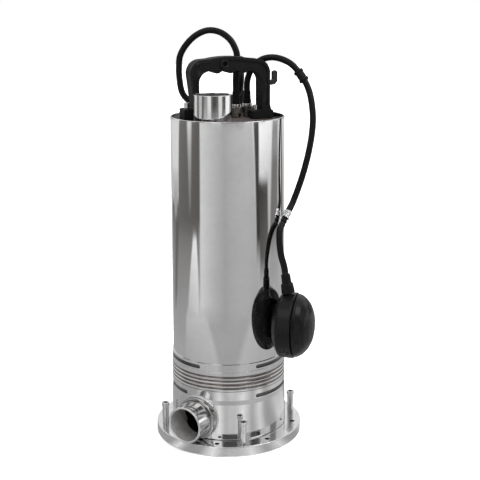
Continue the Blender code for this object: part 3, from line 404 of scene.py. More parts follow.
def new_group(kind, name, inputs, outputs):
    """A new node group, whose sockets each have a type and a default."""
    tree = bpy.data.node_groups.new(name, kind)
    for way, sockets in (("INPUT", inputs), ("OUTPUT", outputs)):
        for label, (socket_kind, default) in sockets.items():
            socket = tree.interface.new_socket(label, in_out=way, socket_type=f"NodeSocket{socket_kind}")
            if default is not None:
                socket.default_value = default
    tree.nodes.new("NodeGroupInput")
    tree.nodes.new("NodeGroupOutput")
    return tree


# ======== Geometry Nodes: turned pieces, grooved rings, copies on a circle, drilled rims, weld beads ========

def geometry_wires(name, inputs):
    inputs = {"Mesh": ("Geometry", None), **inputs, "Material": ("Material", None)}
    return Wires(new_group("GeometryNodeTree", name, inputs, {"Mesh": ("Geometry", None)}))


def ended(wires, geometry):
    """Realize what is instanced, give it the material and put it out. Returns the tree."""
    real = wires.node("GeometryNodeRealizeInstances", {"Geometry": geometry})["Geometry"]
    painted = wires.node("GeometryNodeSetMaterial", {"Geometry": real, "Material": wires.given["Material"]})
    wires.feed(wires.result["Mesh"], painted["Geometry"])
    return wires.tree


def wrapped_grid(wires, rows, steps):
    """A grid of rows by steps + 1 points, with each point's row and angle round Z."""
    around_count = wires.whole("ADD", steps, 1)
    grid = wires.node("GeometryNodeMeshGrid", {"Vertices X": rows, "Vertices Y": around_count})
    index = wires.node("GeometryNodeInputIndex")[0]
    row = wires.whole("DIVIDE_FLOOR", index, around_count)
    step = wires.whole("MODULO", index, around_count)
    return grid["Mesh"], row, step / steps * (2 * pi)


def wrapped_round(wires, grid, radius, angle, height):
    """The grid's points moved to their radius, angle and height, and its ends joined."""
    x, y = radius * wires.maths("COSINE", angle), radius * wires.maths("SINE", angle)
    moved = wires.node("GeometryNodeSetPosition", {"Geometry": grid, "Position": wires.vector(x, y, height)})
    merged = wires.node("GeometryNodeMergeByDistance", {"Geometry": moved["Geometry"],
                                                        "Distance": 0.000001})
    return merged["Geometry"]


def turned_tree():
    """Turns the object's own line of points, (radius, 0, height), round Z."""
    wires = geometry_wires("Turned Piece", {"Steps": ("Int", 96)})
    profile = wires.given["Mesh"]
    size = wires.node("GeometryNodeAttributeDomainSize", {"Geometry": profile}, component="MESH")
    grid, row, angle = wrapped_grid(wires, size["Point Count"], wires.given["Steps"])
    where = wires.node("GeometryNodeSampleIndex", {
        "Geometry": profile, "Value": wires.node("GeometryNodeInputPosition")[0], "Index": row},
        data_type="FLOAT_VECTOR", domain="POINT")
    radius, _, height = wires.split(where[0])
    return ended(wires, wrapped_round(wires, grid, radius, angle, height))


def grooved_ring_tree():
    """A ring whose outer wall has round-bottomed grooves at an even pitch."""
    wires = geometry_wires("Grooved Ring", {
        "Outer Radius": ("Float", 0.066), "Inner Radius": ("Float", 0.064), "Bottom": ("Float", 0.0),
        "Top": ("Float", 0.02), "First Groove": ("Float", 0.005), "Pitch": ("Float", 0.0046),
        "Grooves": ("Int", 4), "Depth": ("Float", 0.001), "Half Width": ("Float", 0.0011),
        "Edge": ("Float", 0.0003), "Rows": ("Int", 140), "Steps": ("Int", 192)})
    given = wires.given
    top, bottom, edge = given["Top"], given["Bottom"], given["Edge"]
    grid, row, angle = wrapped_grid(wires, wires.whole("ADD", given["Rows"], 3), given["Steps"])
    share = wires.maths("MAXIMUM", (row - 2) / (given["Rows"] - 1), 0.0)
    height = top - (top - bottom) * wires.maths("MINIMUM", share, 1.0)
    number = wires.maths("ROUND", (height - given["First Groove"]) / given["Pitch"])
    number = wires.maths("MINIMUM", wires.maths("MAXIMUM", number, 0.0), given["Grooves"] - 1)
    middle = wires.maths("MULTIPLY_ADD", number, given["Pitch"], given["First Groove"])
    off = wires.maths("ABSOLUTE", height - middle) / given["Half Width"]
    groove = wires.maths("MAXIMUM", 1.0 - off ** 2.0, 0.0) ** 0.7 * given["Depth"]
    to_end = wires.maths("MINIMUM", height - bottom, top - height)
    short = wires.maths("MAXIMUM", edge - to_end, 0.0)
    round_off = edge - wires.maths("SQRT", edge ** 2.0 - short ** 2.0)
    outer = given["Outer Radius"] - groove - round_off
    closing = wires.maths("GREATER_THAN", row, given["Rows"] + 1.5)
    inside = wires.maths("MAXIMUM", wires.maths("LESS_THAN", row, 1.5), closing)
    at_bottom = wires.maths("MAXIMUM", wires.maths("LESS_THAN", row, 0.5), closing)
    radius = wires.either(inside, outer, given["Inner Radius"])
    level = wires.either(at_bottom, height, bottom)
    return ended(wires, wrapped_round(wires, grid, radius, angle, level))


CIRCLE_INPUTS = {"Count": ("Int", 4), "Circle Radius": ("Float", 0.07), "First Azimuth": ("Float", 0.0)}


def circle_points(wires):
    """Points on the circle that the inputs name, the first azimuth radians from -Y towards +X."""
    circle = wires.node("GeometryNodeMeshCircle", {"Vertices": wires.given["Count"],
                                                   "Radius": wires.given["Circle Radius"]})
    turn = wires.vector(0.0, 0.0, wires.given["First Azimuth"] - pi / 2)
    return wires.node("GeometryNodeTransform", {"Geometry": circle["Mesh"], "Rotation": turn})["Geometry"]


def copies_tree():
    """Copies of the object's own mesh at even steps on a circle, each with its +X outwards."""
    wires = geometry_wires("Copies On A Circle", CIRCLE_INPUTS)
    points = circle_points(wires)
    x, y, _ = wires.split(wires.node("GeometryNodeInputPosition")[0])
    copies = wires.node("GeometryNodeInstanceOnPoints", {
        "Points": points, "Instance": wires.given["Mesh"],
        "Rotation": wires.vector(0.0, 0.0, wires.maths("ARCTAN2", y, x))})
    return ended(wires, copies["Instances"])


def drilled_tree():
    """Drills a circle of round holes through the object's own mesh."""
    wires = geometry_wires("Drilled Rim", {
        **CIRCLE_INPUTS, "Hole Radius": ("Float", 0.003), "Hole Height": ("Float", 0.03),
        "Facets": ("Int", 32)})
    given = wires.given
    drill = wires.node("GeometryNodeMeshCylinder", {
        "Vertices": given["Facets"], "Radius": given["Hole Radius"], "Depth": given["Hole Height"]})
    copies = wires.node("GeometryNodeInstanceOnPoints", {"Points": circle_points(wires),
                                                         "Instance": drill["Mesh"]})
    drills = wires.node("GeometryNodeRealizeInstances", {"Geometry": copies["Instances"]})["Geometry"]
    drilled = wires.node("GeometryNodeMeshBoolean", {"Mesh 1": given["Mesh"], "Mesh 2": drills},
                         operation="DIFFERENCE", solver="EXACT")
    return ended(wires, drilled["Mesh"])


def bead_tree():
    """A welder's bead along the object's own line: a round section that swells at an even pitch."""
    wires = geometry_wires("Weld Bead", {
        "Bead Radius": ("Float", 0.0009), "Ripple": ("Float", 0.12), "Ripple Length": ("Float", 0.0012),
        "Sides": ("Int", 12)})
    given = wires.given
    line = wires.node("GeometryNodeMeshToCurve", {"Mesh": given["Mesh"]})["Curve"]
    travelled = wires.node("GeometryNodeSplineParameter")["Length"]
    wave = wires.maths("SINE", travelled / given["Ripple Length"] * (2 * pi))
    swell = wires.maths("MULTIPLY_ADD", wave, given["Ripple"], 1.0)
    section = wires.node("GeometryNodeCurvePrimitiveCircle", {"Resolution": given["Sides"],
                                                              "Radius": given["Bead Radius"]})
    sweep = wires.node("GeometryNodeCurveToMesh", {"Curve": line, "Profile Curve": section["Curve"],
                                                   "Scale": swell})
    return ended(wires, sweep["Mesh"])


def through_tree(mesh, tree, values):
    """The mesh that a tree makes of another one, with the tree's inputs set by name."""
    piece = loose_object("blank", mesh)
    modifier = piece.modifiers.new(tree.name, "NODES")
    modifier.node_group = tree
    for socket in tree.interface.items_tree:
        if socket.in_out == "INPUT" and socket.name in values:
            modifier[socket.identifier] = values[socket.name]
    return cleaned(result_mesh(piece))


TURNED = turned_tree()
GROOVED_RING = grooved_ring_tree()
COPIES = copies_tree()
DRILLED = drilled_tree()
WELD_BEAD = bead_tree()
SUPPORT = 0.25  # from a straight's end to the point that keeps it flat


def supported(profile):
    """A profile with a point just inside each end of its long straights, to keep them flat."""
    points = [tuple(profile[0])]
    for start, end in zip(profile, profile[1:]):
        long = hypot(end[0] - start[0], end[1] - start[1])
        if long > 6 * SUPPORT:
            for share in (SUPPORT / long, 1 - SUPPORT / long):
                points.append((between(start[0], end[0], share), between(start[1], end[1], share)))
        points.append(tuple(end))
    return points


def turned(profile, steps=ROUND, place=None, ring=False):
    """Turn (radius, height) points about Z. A ring's profile goes back to its first point."""
    profile = supported(list(profile) + [profile[0]] if ring else profile)
    mesh = through_tree(line_from([(r, 0.0, z) for r, z in profile]), TURNED, {"Steps": steps})
    if place is not None:
        mesh.transform(place)
    return mesh


def soft_turned(profile, radii, steps=ROUND, place=None, ring=False, rounds=5):
    """A profile turned about Z after its corners are rounded."""
    return turned(softened(profile, radii, closed=ring, steps=rounds), steps, place, ring)


def rod(radius, bottom, top, steps, place=None):
    """A plain round bar, used to cut with."""
    return turned([(0, top), (radius, top), (radius, bottom), (0, bottom)], steps, place)


# ======== Shader groups and materials ========

def spaced(values):
    """Inputs that are given as Two_Words, by their own names."""
    return {label.replace("_", " "): value for label, value in values.items()}


class Paint(Wires):
    """Adds shader nodes to a group or a material."""

    def spread(self, value, low, high, to_low=0.0, to_high=1.0):
        """Stretch a value's range low..high to to_low..to_high, with soft ends."""
        return self.node("ShaderNodeMapRange", {
            "Value": value, "From Min": low, "From Max": high, "To Min": to_low, "To Max": to_high},
            interpolation_type="SMOOTHSTEP")["Result"]

    def mixed(self, factor, first, second):
        """A colour between two others."""
        first, second = (c if isinstance(c, Value) else (*c, 1.0) for c in (first, second))
        return self.node("ShaderNodeMix", {0: factor, 6: first, 7: second}, data_type="RGBA")[2]

    def noise(self, place, scale, detail=3.0, rough=0.5):
        return self.node("ShaderNodeTexNoise", {
            "Vector": place, "Scale": scale, "Detail": detail, "Roughness": rough})["Fac"]

    def place(self, stretch=(1.0, 1.0, 1.0)):
        """The piece's own coordinates in metres, stretched along its axes."""
        spots = self.node("ShaderNodeTexCoord")["Object"]
        return self.node("ShaderNodeMapping", {"Vector": spots, "Scale": stretch})["Vector"]

    def grouped(self, group, place, **values):
        return self.node("ShaderNodeGroup", {"Place": place, **spaced(values)}, node_tree=group)[0]

    def surface(self, colour, roughness, height=None, strength=0.0, depth=0.0, **others):
        """Set the shader's colour, roughness, bump and other inputs."""
        inputs = {"Base Color": colour, "Roughness": roughness, **spaced(others)}
        if height is not None:
            inputs["Normal"] = self.node("ShaderNodeBump", {
                "Strength": strength, "Distance": depth, "Height": height})["Normal"]
        shader = next(n for n in self.tree.nodes if n.bl_idname == "ShaderNodeBsdfPrincipled")
        for label, value in inputs.items():
            self.feed(shader.inputs[label], value)

    def done(self, value):
        """Put the group's value out. Returns the group."""
        self.feed(self.result[0], value)
        return self.tree


def group_paint(name, output, **sizes):
    """What paints a new shader group that takes a place and some sizes."""
    inputs = {"Place": ("Vector", None), **{label: ("Float", size) for label, size in spaced(sizes).items()}}
    return Paint(new_group("ShaderNodeTree", name, inputs, {output: ("Float", None)}))


def smudges_group():
    """Faint cloudy patches, as hands and cloths leave on a polished or moulded face."""
    paint = group_paint("Handling Smudges", "Mask", Patch_Scale=30.0, Streak_Scale=140.0)
    place = paint.given["Place"]
    patches = paint.spread(paint.noise(place, paint.given["Patch Scale"], 4.0, 0.55), 0.38, 0.68)
    streaks = paint.spread(paint.noise(place, paint.given["Streak Scale"], 5.0, 0.6), 0.35, 0.7)
    return paint.done(streaks * 0.4 + patches * 0.6)


def grain_group():
    """Fine surface grain at two sizes."""
    paint = group_paint("Surface Grain", "Height", Coarse_Scale=900.0, Fine_Scale=3200.0)
    coarse, fine = (paint.noise(paint.given["Place"], paint.given[label], 2.0)
                    for label in ("Coarse Scale", "Fine Scale"))
    return paint.done(coarse * 0.65 + fine * 0.35)


def wear_group():
    """Rubbed edges: the mesh's own sharpness, broken up by noise."""
    paint = group_paint("Rubbed Edges", "Mask", Start=0.53, Full=0.62, Break_Scale=260.0)
    given = paint.given
    edge = paint.spread(paint.node("ShaderNodeNewGeometry")["Pointiness"], given["Start"], given["Full"])
    return paint.done(edge * paint.spread(paint.noise(given["Place"], given["Break Scale"], 4.0), 0.3, 0.62))


def dust_group():
    """A little dust on faces that look up, in soft patches."""
    paint = group_paint("Settled Dust", "Mask", Patch_Scale=60.0)
    upward = paint.split(paint.node("ShaderNodeNewGeometry")["Normal"])[2]
    patches = paint.noise(paint.given["Place"], paint.given["Patch Scale"], 5.0, 0.65)
    return paint.done(paint.spread(upward, 0.45, 0.98) * paint.spread(patches, 0.35, 0.75))


SMUDGES = smudges_group()
GRAIN = grain_group()
WEAR = wear_group()
DUST = dust_group()


def new_material(name):
    """A new material, and what paints it."""
    material = bpy.data.materials.new(name)
    material.use_nodes = True
    return material, Paint(material.node_tree)


def metal(name, bright, dull, smooth, rough, stretch=(1, 1, 1), grain=0.05, depth=0.00002,
          coarse=900.0, fine=3200.0, patch=30.0, streak=140.0, metallic=1.0, shade_and_grime=None):
    """A metal whose colour and roughness drift with handling, over a fine tooled grain.

    An optional dark colour, painted shade and grime, comes with the function that works out how much of it
    covers the metal.
    """
    material, paint = new_material(name)
    mask = paint.grouped(SMUDGES, paint.place(), Patch_Scale=patch, Streak_Scale=streak)
    height = paint.grouped(GRAIN, paint.place(stretch), Coarse_Scale=coarse, Fine_Scale=fine)
    colour = paint.mixed(mask, bright, dull)
    if shade_and_grime:
        colour = paint.mixed(shade_and_grime[1](paint), colour, shade_and_grime[0])
    paint.surface(colour, mask * (rough - smooth) + smooth, height, grain, depth, Metallic=metallic)
    return material


def moulded(name, base, rubbed, smooth, rough, grain=0.25, dust_colour=(0.08, 0.078, 0.075),
            dust_share=0.1, specular=0.4):
    """A moulded plastic or rubber with a spark-eroded grain, rubbed edges and a little dust."""
    material, paint = new_material(name)
    place = paint.place()
    mask = paint.grouped(SMUDGES, place, Patch_Scale=24.0, Streak_Scale=120.0)
    height = paint.grouped(GRAIN, place, Coarse_Scale=1400.0, Fine_Scale=4200.0)
    colour = paint.mixed(paint.grouped(WEAR, place), base, rubbed)
    colour = paint.mixed(paint.grouped(DUST, place) * dust_share, colour, dust_colour)
    paint.surface(colour, mask * (rough - smooth) + smooth, height, grain, 0.00005,
                  Specular_IOR_Level=specular)
    return material


def lamination():
    """Stacked sheets of core steel: thin dark lines between bright ones up the axis."""
    material, paint = new_material("core_sheet_stack")
    place = paint.place()
    wave = paint.maths("SINE", paint.split(place)[2] * (2 * pi / 0.0005))
    gap, mask = paint.spread(wave, -0.9, 0.1), paint.grouped(SMUDGES, place)
    colour = paint.mixed(gap, (0.08, 0.08, 0.085), (0.34, 0.35, 0.37))
    paint.surface(paint.mixed(mask * 0.4, colour, (0.2, 0.17, 0.14)), mask * 0.2 + 0.35, gap, 0.4, 0.00004,
                  Metallic=0.9)
    return material


def clear_plastic():
    """The clear clip: clear plastic with a faint haze and moulding scratches."""
    material, paint = new_material("clear_clip_plastic")
    place = paint.place()
    mask = paint.grouped(SMUDGES, place, Patch_Scale=200.0, Streak_Scale=900.0)
    colour = paint.mixed(mask, (0.93, 0.94, 0.95), (0.82, 0.83, 0.84))
    paint.surface(colour, mask * 0.15 + 0.06, paint.grouped(GRAIN, place), 0.2, 0.00003,
                  Transmission_Weight=0.85, IOR=1.5)
    return material


def groove_shade_and_grime(paint):
    """How much painted shade and grime, a dark brown, a point in the collar's grooves shows, from its radius.
    """
    x, y, _ = paint.split(paint.place())
    reach = paint.maths("SQRT", x ** 2.0 + y ** 2.0)
    return paint.spread(reach, (COLLAR_RADIUS - 0.75) * MM, (COLLAR_RADIUS - 0.12) * MM, 1.0, 0.0)


RINGED = (0.05, 0.05, 1.0)  # a stretch that draws the grain out round the axis
TURNED_FINISH = dict(bright=(0.84, 0.84, 0.85), dull=(0.76, 0.76, 0.77), smooth=0.06, rough=0.14,
                     stretch=RINGED, grain=0.08, depth=0.00001)
MIRROR = metal("polished_body_steel", (0.83, 0.83, 0.84), (0.77, 0.77, 0.78), 0.035, 0.085,
               stretch=(0.03, 0.03, 1.0), grain=0.03, depth=0.000006)
TURNED_STEEL = metal("polished_turned_steel", **TURNED_FINISH)
# The collar's grooves are painted dark brown: painted shade in the recesses, with some grime.
COLLAR_STEEL = metal("grooved_collar_steel", **TURNED_FINISH, shade_and_grime=((0.24, 0.215, 0.20), groove_shade_and_grime))
FLANGE_STEEL = metal("polished_flange_steel", (0.83, 0.83, 0.835), (0.72, 0.72, 0.73), 0.11, 0.2,
                     grain=0.10, depth=0.00001, coarse=700.0)
SCREW_STEEL = metal("bright_screw_steel", (0.86, 0.86, 0.86), (0.68, 0.68, 0.69), 0.12, 0.26,
                    grain=0.2, depth=0.00001, patch=120.0, streak=500.0)
NICKEL = metal("nickel_plated_nut", (0.46, 0.435, 0.41), (0.33, 0.31, 0.29), 0.18, 0.34,
               grain=0.25, depth=0.00001, patch=120.0, streak=500.0)
# Painted shade: the steel behind the slots is coloured near black so that the slots read as shadowed.
SLOT_SHADE_STEEL = metal("slot_shade_steel", (0.17, 0.165, 0.16), (0.09, 0.088, 0.085), 0.25, 0.45,
                    stretch=RINGED, grain=0.3, depth=0.00003)
SATIN_STEEL = metal("satin_pressed_steel", (0.62, 0.62, 0.61), (0.50, 0.50, 0.50), 0.24, 0.38,
                    stretch=RINGED, grain=0.2)
CAST_STEEL = metal("sand_cast_steel", (0.44, 0.44, 0.43), (0.30, 0.30, 0.295), 0.42, 0.62,
                   grain=0.6, depth=0.00012, coarse=500.0, fine=1500.0)
COPPER = metal("varnished_winding_copper", (0.72, 0.33, 0.17), (0.48, 0.19, 0.09), 0.22, 0.4,
               stretch=(0.1, 0.1, 1.0), grain=0.7, depth=0.00015, coarse=1100.0)
BRASS = metal("nickel_brass_pins", (0.80, 0.68, 0.44), (0.68, 0.55, 0.34), 0.14, 0.3,
              grain=0.15, depth=0.00001, patch=150.0, streak=600.0)
WELD_STEEL = metal("welded_collar_steel", (0.56, 0.55, 0.54), (0.42, 0.41, 0.40), 0.1, 0.22, grain=0.12)
INLET_BORE_STEEL = metal("machined_bore_steel", (0.58, 0.57, 0.56), (0.42, 0.41, 0.40), 0.2, 0.34,
                         grain=0.3, metallic=0.62)
OUTLET_BORE_STEEL = metal("dull_bore_steel", (0.60, 0.595, 0.59), (0.44, 0.435, 0.43), 0.22, 0.38,
                          grain=0.3)
HANDLE_PLASTIC = moulded("black_handle_plastic", (0.005, 0.005, 0.0052), (0.016, 0.016, 0.016), 0.5, 0.64,
                         dust_share=0.05, specular=0.13)
FLOAT_PLASTIC = moulded("black_float_plastic", (0.003, 0.003, 0.0032), (0.012, 0.012, 0.0122), 0.24, 0.36,
                        grain=0.12, dust_share=0.03, specular=0.2)
HOOK_PLASTIC = moulded("black_hook_plastic", (0.012, 0.012, 0.0125), (0.03, 0.03, 0.03), 0.34, 0.46,
                       specular=0.25)
LEAD_RUBBER = moulded("black_lead_rubber", (0.0028, 0.0028, 0.003), (0.009, 0.009, 0.009), 0.28, 0.42,
                      grain=0.2, dust_share=0.03, specular=0.17)
PLUG_RUBBER = moulded("black_plug_rubber", (0.018, 0.018, 0.018), (0.05, 0.05, 0.05), 0.45, 0.6)
LID_PLASTIC = moulded("dark_lid_plastic", (0.055, 0.045, 0.043), (0.09, 0.08, 0.075), 0.35, 0.5)
WORKS_PLASTIC = moulded("pale_works_plastic", (0.36, 0.33, 0.27), (0.5, 0.47, 0.4), 0.45, 0.6,
                        dust_colour=(0.4, 0.38, 0.34))
CERAMIC = moulded("white_seal_ceramic", (0.78, 0.76, 0.72), (0.84, 0.82, 0.8), 0.18, 0.28, grain=0.1,
                  dust_colour=(0.7, 0.68, 0.66))
LAMINATION = lamination()
CLEAR_PLASTIC = clear_plastic()

# The CAD nodes that stay in view, by their finish.
CAD_FINISHES = (
    (SATIN_STEEL, ("suction_cover", "stage_sleeve", "motor_can", "motor_shaft", "bearing_upper",
                   "bearing_lower", "cable_duct")),
    (CAST_STEEL, ("bearing_bracket", "seal_housing")),
    (LAMINATION, ("rotor", "stator")),
    (COPPER, ("winding_lower", "winding_upper")),
    (CERAMIC, ("shaft_seal",)),
    (WORKS_PLASTIC, tuple(f"{kind}_{i}" for kind in ("diffuser", "impeller") for i in (1, 2, 3))),
)


def finish_cad_nodes():
    for material, names in CAD_FINISHES:
        for name in names:
            for slot in bpy.data.objects[name].material_slots:
                slot.material = material


# ======== Camera, floor and studio ========

PHOTO_LENS = 76.70
PHOTO_SPOT = (0.01405, -1.15534, 0.50936)  # metres
PHOTO_TILT, PHOTO_ROLL = 79.147, -0.145  # degrees
PHOTO_SHIFT = (190.57 - 240.0) / 480.0  # the lens's axis meets row 190.57 of 480
FLOOR_REACH = 6500.0
FLOOR_HEIGHT = -0.6
MOUTH = 40.0  # radius of the floor's innermost ring of faces


def make_camera():
    camera = bpy.data.cameras.new("photo_camera")
    camera.lens, camera.sensor_width, camera.shift_y = PHOTO_LENS, 36.0, PHOTO_SHIFT
    camera.clip_start, camera.clip_end = 0.05, 50.0
    holder = loose_object("photo_camera", camera)
    holder.matrix_world = (Matrix.Translation(PHOTO_SPOT) @ Matrix.Rotation(radians(PHOTO_TILT), 4, "X")
                           @ Matrix.Rotation(radians(PHOTO_ROLL), 4, "Z"))
    bpy.context.scene.camera = holder


def make_floor():
    """A plain pale floor, with a faint unevenness in its paint."""
    material, paint = new_material("pale_floor_paint")
    mask = paint.grouped(SMUDGES, paint.place(), Patch_Scale=3.0, Streak_Scale=12.0)
    paint.surface(paint.mixed(mask, (0.93, 0.93, 0.93), (0.90, 0.90, 0.90)), 0.9, Specular_IOR_Level=0.1)
    mesh = turned([(reach, FLOOR_HEIGHT) for reach in (FLOOR_REACH, MOUTH, 0)], FINE)
    mesh.materials.clear()
    mesh.materials.append(material)
    loose_object("studio_floor", shaded(mesh))


# The polished steel shows the studio round it: soft-edged floor cards, then striped curtains.
# Greys are what the steel shows of them, from 0 to 255. Azimuths are in degrees from the front
# towards +X. A floor card is its four corners, each an azimuth, a radius in millimetres and a grey:
# near first and last, far first and last. Then come the shares of its width and of its length over
# which an edge fades. A later card lies on an earlier one.
FLOOR_CARDS = {
    "ground": ((-180, 86, 150), (180, 86, 150), (-180, 3200, 215), (180, 3200, 215), (0.0, 0.0)),
    "left_field": ((-152, 300, 154), (-50, 300, 165), (-152, 1500, 96), (-57, 1500, 84), (0.06, 0.12)),
    "left_far": ((-118, 1050, 97), (-53, 1050, 84), (-112, 3200, 112), (-54, 3200, 90), (0.05, 0.1)),
    "left_line": ((-84, 1250, 105), (-76, 1250, 105), (-89, 3200, 218), (-72, 3200, 212), (0.3, 0.1)),
    "left_bright_tip": ((-135, 1180, 140), (-122, 1180, 130), (-147, 2050, 205), (-114, 2050, 208),
                        (0.2, 0.12)),
    "left_bright": ((-146, 1850, 205), (-115, 1850, 208), (-143, 3200, 204), (-113, 3200, 210), (0.08, 0.06)),
    "left_edge_dark": ((-140, 500, 108), (-124, 500, 112), (-130, 1300, 82), (-108, 1300, 90), (0.35, 0.15)),
    "left_edge": ((-158, 1250, 180), (-145, 1250, 160), (-157, 3200, 190), (-146, 3200, 190), (0.3, 0.1)),
    "low_left": ((-98, 250, 150), (-2, 250, 172), (-92, 570, 184), (-42, 570, 186), (0.1, 0.16)),
    "low_right": ((0, 250, 172), (112, 250, 158), (46, 570, 182), (120, 570, 160), (0.12, 0.16)),
    "left_wedge": ((-90, 500, 170), (-53, 500, 196), (-72, 1120, 238), (-64, 1120, 236), (0.16, 0.1)),
    "front": ((-58, 500, 200), (60, 500, 160), (-56, 3200, 203), (51, 3200, 184), (0.03, 0.04)),
    "front_middle": ((-50, 470, 156), (42, 470, 156), (-50, 3200, 164), (36, 3200, 165), (0.5, 0.02)),
    "right_dark": ((58, 850, 50), (74, 850, 45), (51, 3200, 80), (65, 3200, 72), (0.2, 0.1)),
    "right_low_dark": ((66, 720, 90), (90, 720, 110), (60, 1860, 40), (88, 1860, 66), (0.14, 0.16)),
    "right_white": ((63, 1700, 225), (100, 1700, 190), (63, 3200, 252), (100, 3200, 242), (0.1, 0.12)),
    "right_grey": ((88, 640, 150), (124, 640, 158), (101, 3200, 135), (120, 3200, 135), (0.15, 0.05)),
    "right_grey_dark": ((90, 900, 106), (120, 900, 116), (101, 2300, 116), (118, 2300, 112), (0.15, 0.15)),
    "right_line": ((122, 900, 180), (140, 900, 190), (117, 3200, 200), (130, 3200, 204), (0.3, 0.1)),
    "right_thin_dark": ((136, 900, 40), (150, 900, 60), (129, 3200, 145), (142, 3200, 155), (0.35, 0.1)),
    "near_field": ((-100, 86, 146), (100, 86, 168), (-100, 260, 140), (100, 260, 176), (0.05, 0.2)),
    "near_left_light": ((-56, 86, 214), (-36, 86, 214), (-60, 260, 190), (-40, 260, 190), (0.5, 0.2)),
    "near_left_shade": ((-46, 86, 140), (-16, 86, 150), (-46, 260, 140), (-26, 260, 150), (0.5, 0.3)),
    "near_left_glow": ((-24, 86, 220), (-2, 86, 216), (-30, 260, 220), (-2, 260, 208), (0.5, 0.2)),
    "near_middle": ((-8, 86, 176), (14, 86, 177), (-8, 260, 194), (20, 260, 190), (0.4, 0.1)),
    "near_right_glow": ((6, 86, 220), (32, 86, 218), (10, 260, 224), (44, 260, 214), (0.5, 0.2)),
    "near_right_light": ((36, 86, 206), (58, 86, 206), (46, 260, 200), (70, 260, 200), (0.5, 0.2)),
    "near_right_shade": ((54, 86, 146), (84, 86, 150), (62, 260, 156), (80, 260, 160), (0.4, 0.2)),
    "near_right_edge": ((82, 86, 200), (130, 86, 215), (78, 260, 176), (130, 260, 168), (0.2, 0.2)),
}
# A curtain is: first and last azimuth, and the grey at each. The low ones end where the high begin.
LOW_CURTAINS = {
    "back": (140, 222, 58, 52), "left_edge": (-138, -128, 120, 185), "left_white": (-128, -107, 206, 208),
    "left_grey": (-107, -86, 122, 116), "left_pale": (-86, -66, 180, 184), "left_dark": (-66, -50, 100, 94),
    "front_grey": (-50, -30, 132, 158), "front_white": (-30, -11, 205, 222),
    "front_half": (-11, -4, 135, 120),
    "front_black": (-4, 14, 82, 50), "front_shade": (14, 34, 62, 105), "front_pale": (34, 55, 205, 214),
    "right_half": (55, 62, 140, 125), "right_black": (62, 80, 80, 50), "right_white": (80, 116, 232, 248),
    "right_edge": (116, 126, 185, 160), "right_dark": (126, 140, 80, 62),
}
HIGH_CURTAINS = {
    "back": (140, 222, 214, 214), "left_edge": (-138, -107, 205, 205), "left_grey": (-107, -86, 125, 120),
    "left_pale": (-86, -66, 180, 184), "left_dark": (-66, -50, 100, 94), "front_grey": (-50, -33, 135, 160),
    "front_white": (-33, -13, 224, 220), "front_black": (-13, 23, 64, 74), "front_pale": (23, 44, 170, 165),
    "right_black": (44, 66, 58, 80), "right_pale": (66, 92, 185, 205), "right_grey": (92, 113, 112, 125),
    "right_edge": (113, 140, 200, 205),
}
CURTAIN_SPLIT = 650.0
WALL_RADIUS = 3200.0
WALL_HEIGHT = 2900.0
CARD_LIMIT = 86.0  # no card lies under the flange
CEILING_GREY = 205
STEEL_SHARE = 0.8  # of the light that polished steel gives back
CARD_HEIGHT = -0.45  # of the lowest floor card
CARD_STEP = 0.012  # from one floor card up to the next
CARD_ANGLE = 4  # degrees between the points along a card


def glow_of(grey):
    """The brightness of a card that polished steel shows as that grey."""
    share = grey / 255
    linear = share / 12.92 if share <= 0.04045 else ((share + 0.055) / 1.055) ** 2.4
    return linear / STEEL_SHARE


def card_material():
    """The cards' own light, from each point's brightness and how much of the card is there."""
    material, paint = new_material("reflection_card_light")
    material.node_tree.nodes.clear()
    level, cover = (paint.node("ShaderNodeAttribute", attribute_name=name)["Fac"]
                    for name in ("Brightness", "Cover"))
    colour = paint.mixed(paint.spread(level, 0.02, 0.45), (1.04, 0.99, 0.93), (1.0, 1.0, 0.995))
    glow = paint.node("ShaderNodeEmission", {"Color": colour, "Strength": level})[0]
    both = paint.node("ShaderNodeMixShader", {0: cover, 1: paint.node("ShaderNodeBsdfTransparent")[0],
                                              2: glow})[0]
    paint.node("ShaderNodeOutputMaterial", {"Surface": both})
    return material


def card(name, points, levels, covers, faces, material):
    """A glowing card that only reflections show."""
    mesh = mesh_from(points, (), faces)
    for label, values in (("Brightness", levels), ("Cover", covers)):
        mesh.attributes.new(label, "FLOAT", "POINT").data.foreach_set("value", values)
    mesh.materials.append(material)
    piece = loose_object(name, mesh)
    for kind in ("camera", "diffuse", "shadow", "transmission", "volume_scatter"):
        setattr(piece, f"visible_{kind}", False)


def fade_steps(fade_in, fade_out, count):
    """Shares from 0 to 1 across a card, each with how much of the card is there."""
    shares = sorted({0.0, fade_in, 1.0 - fade_out, 1.0} | {i / count for i in range(1, count)})
    return [(share, min(1.0, share / fade_in if fade_in else 1.0,
                        (1 - share) / fade_out if fade_out else 1.0)) for share in shares]


def floor_card(name, place, height, material):
    near_first, near_last, far_first, far_last, (side_fade, end_fade) = place
    count = max(4, round(abs(near_last[0] - near_first[0]) / CARD_ANGLE))
    across = fade_steps(side_fade, side_fade, count)
    outward = fade_steps(end_fade * (near_first[1] > CARD_LIMIT), end_fade * (far_first[1] < WALL_RADIUS), 6)
    points, levels, covers = [], [], []
    for side, side_cover in across:
        for out, end_cover in outward:
            near = [between(a, b, side) for a, b in zip(near_first, near_last)]
            far = [between(a, b, side) for a, b in zip(far_first, far_last)]
            azimuth, reach, grey = (between(a, b, out) for a, b in zip(near, far))
            way = around(azimuth) * reach
            points.append((way.x, way.y, height))
            levels.append(glow_of(grey))
            covers.append(side_cover * end_cover)
    rows = len(outward)
    faces = [(i * rows + j, i * rows + j + 1, (i + 1) * rows + j + 1, (i + 1) * rows + j)
             for i in range(len(across) - 1) for j in range(rows - 1)]
    card(f"floor_card_{name}", points, levels, covers, faces, material)


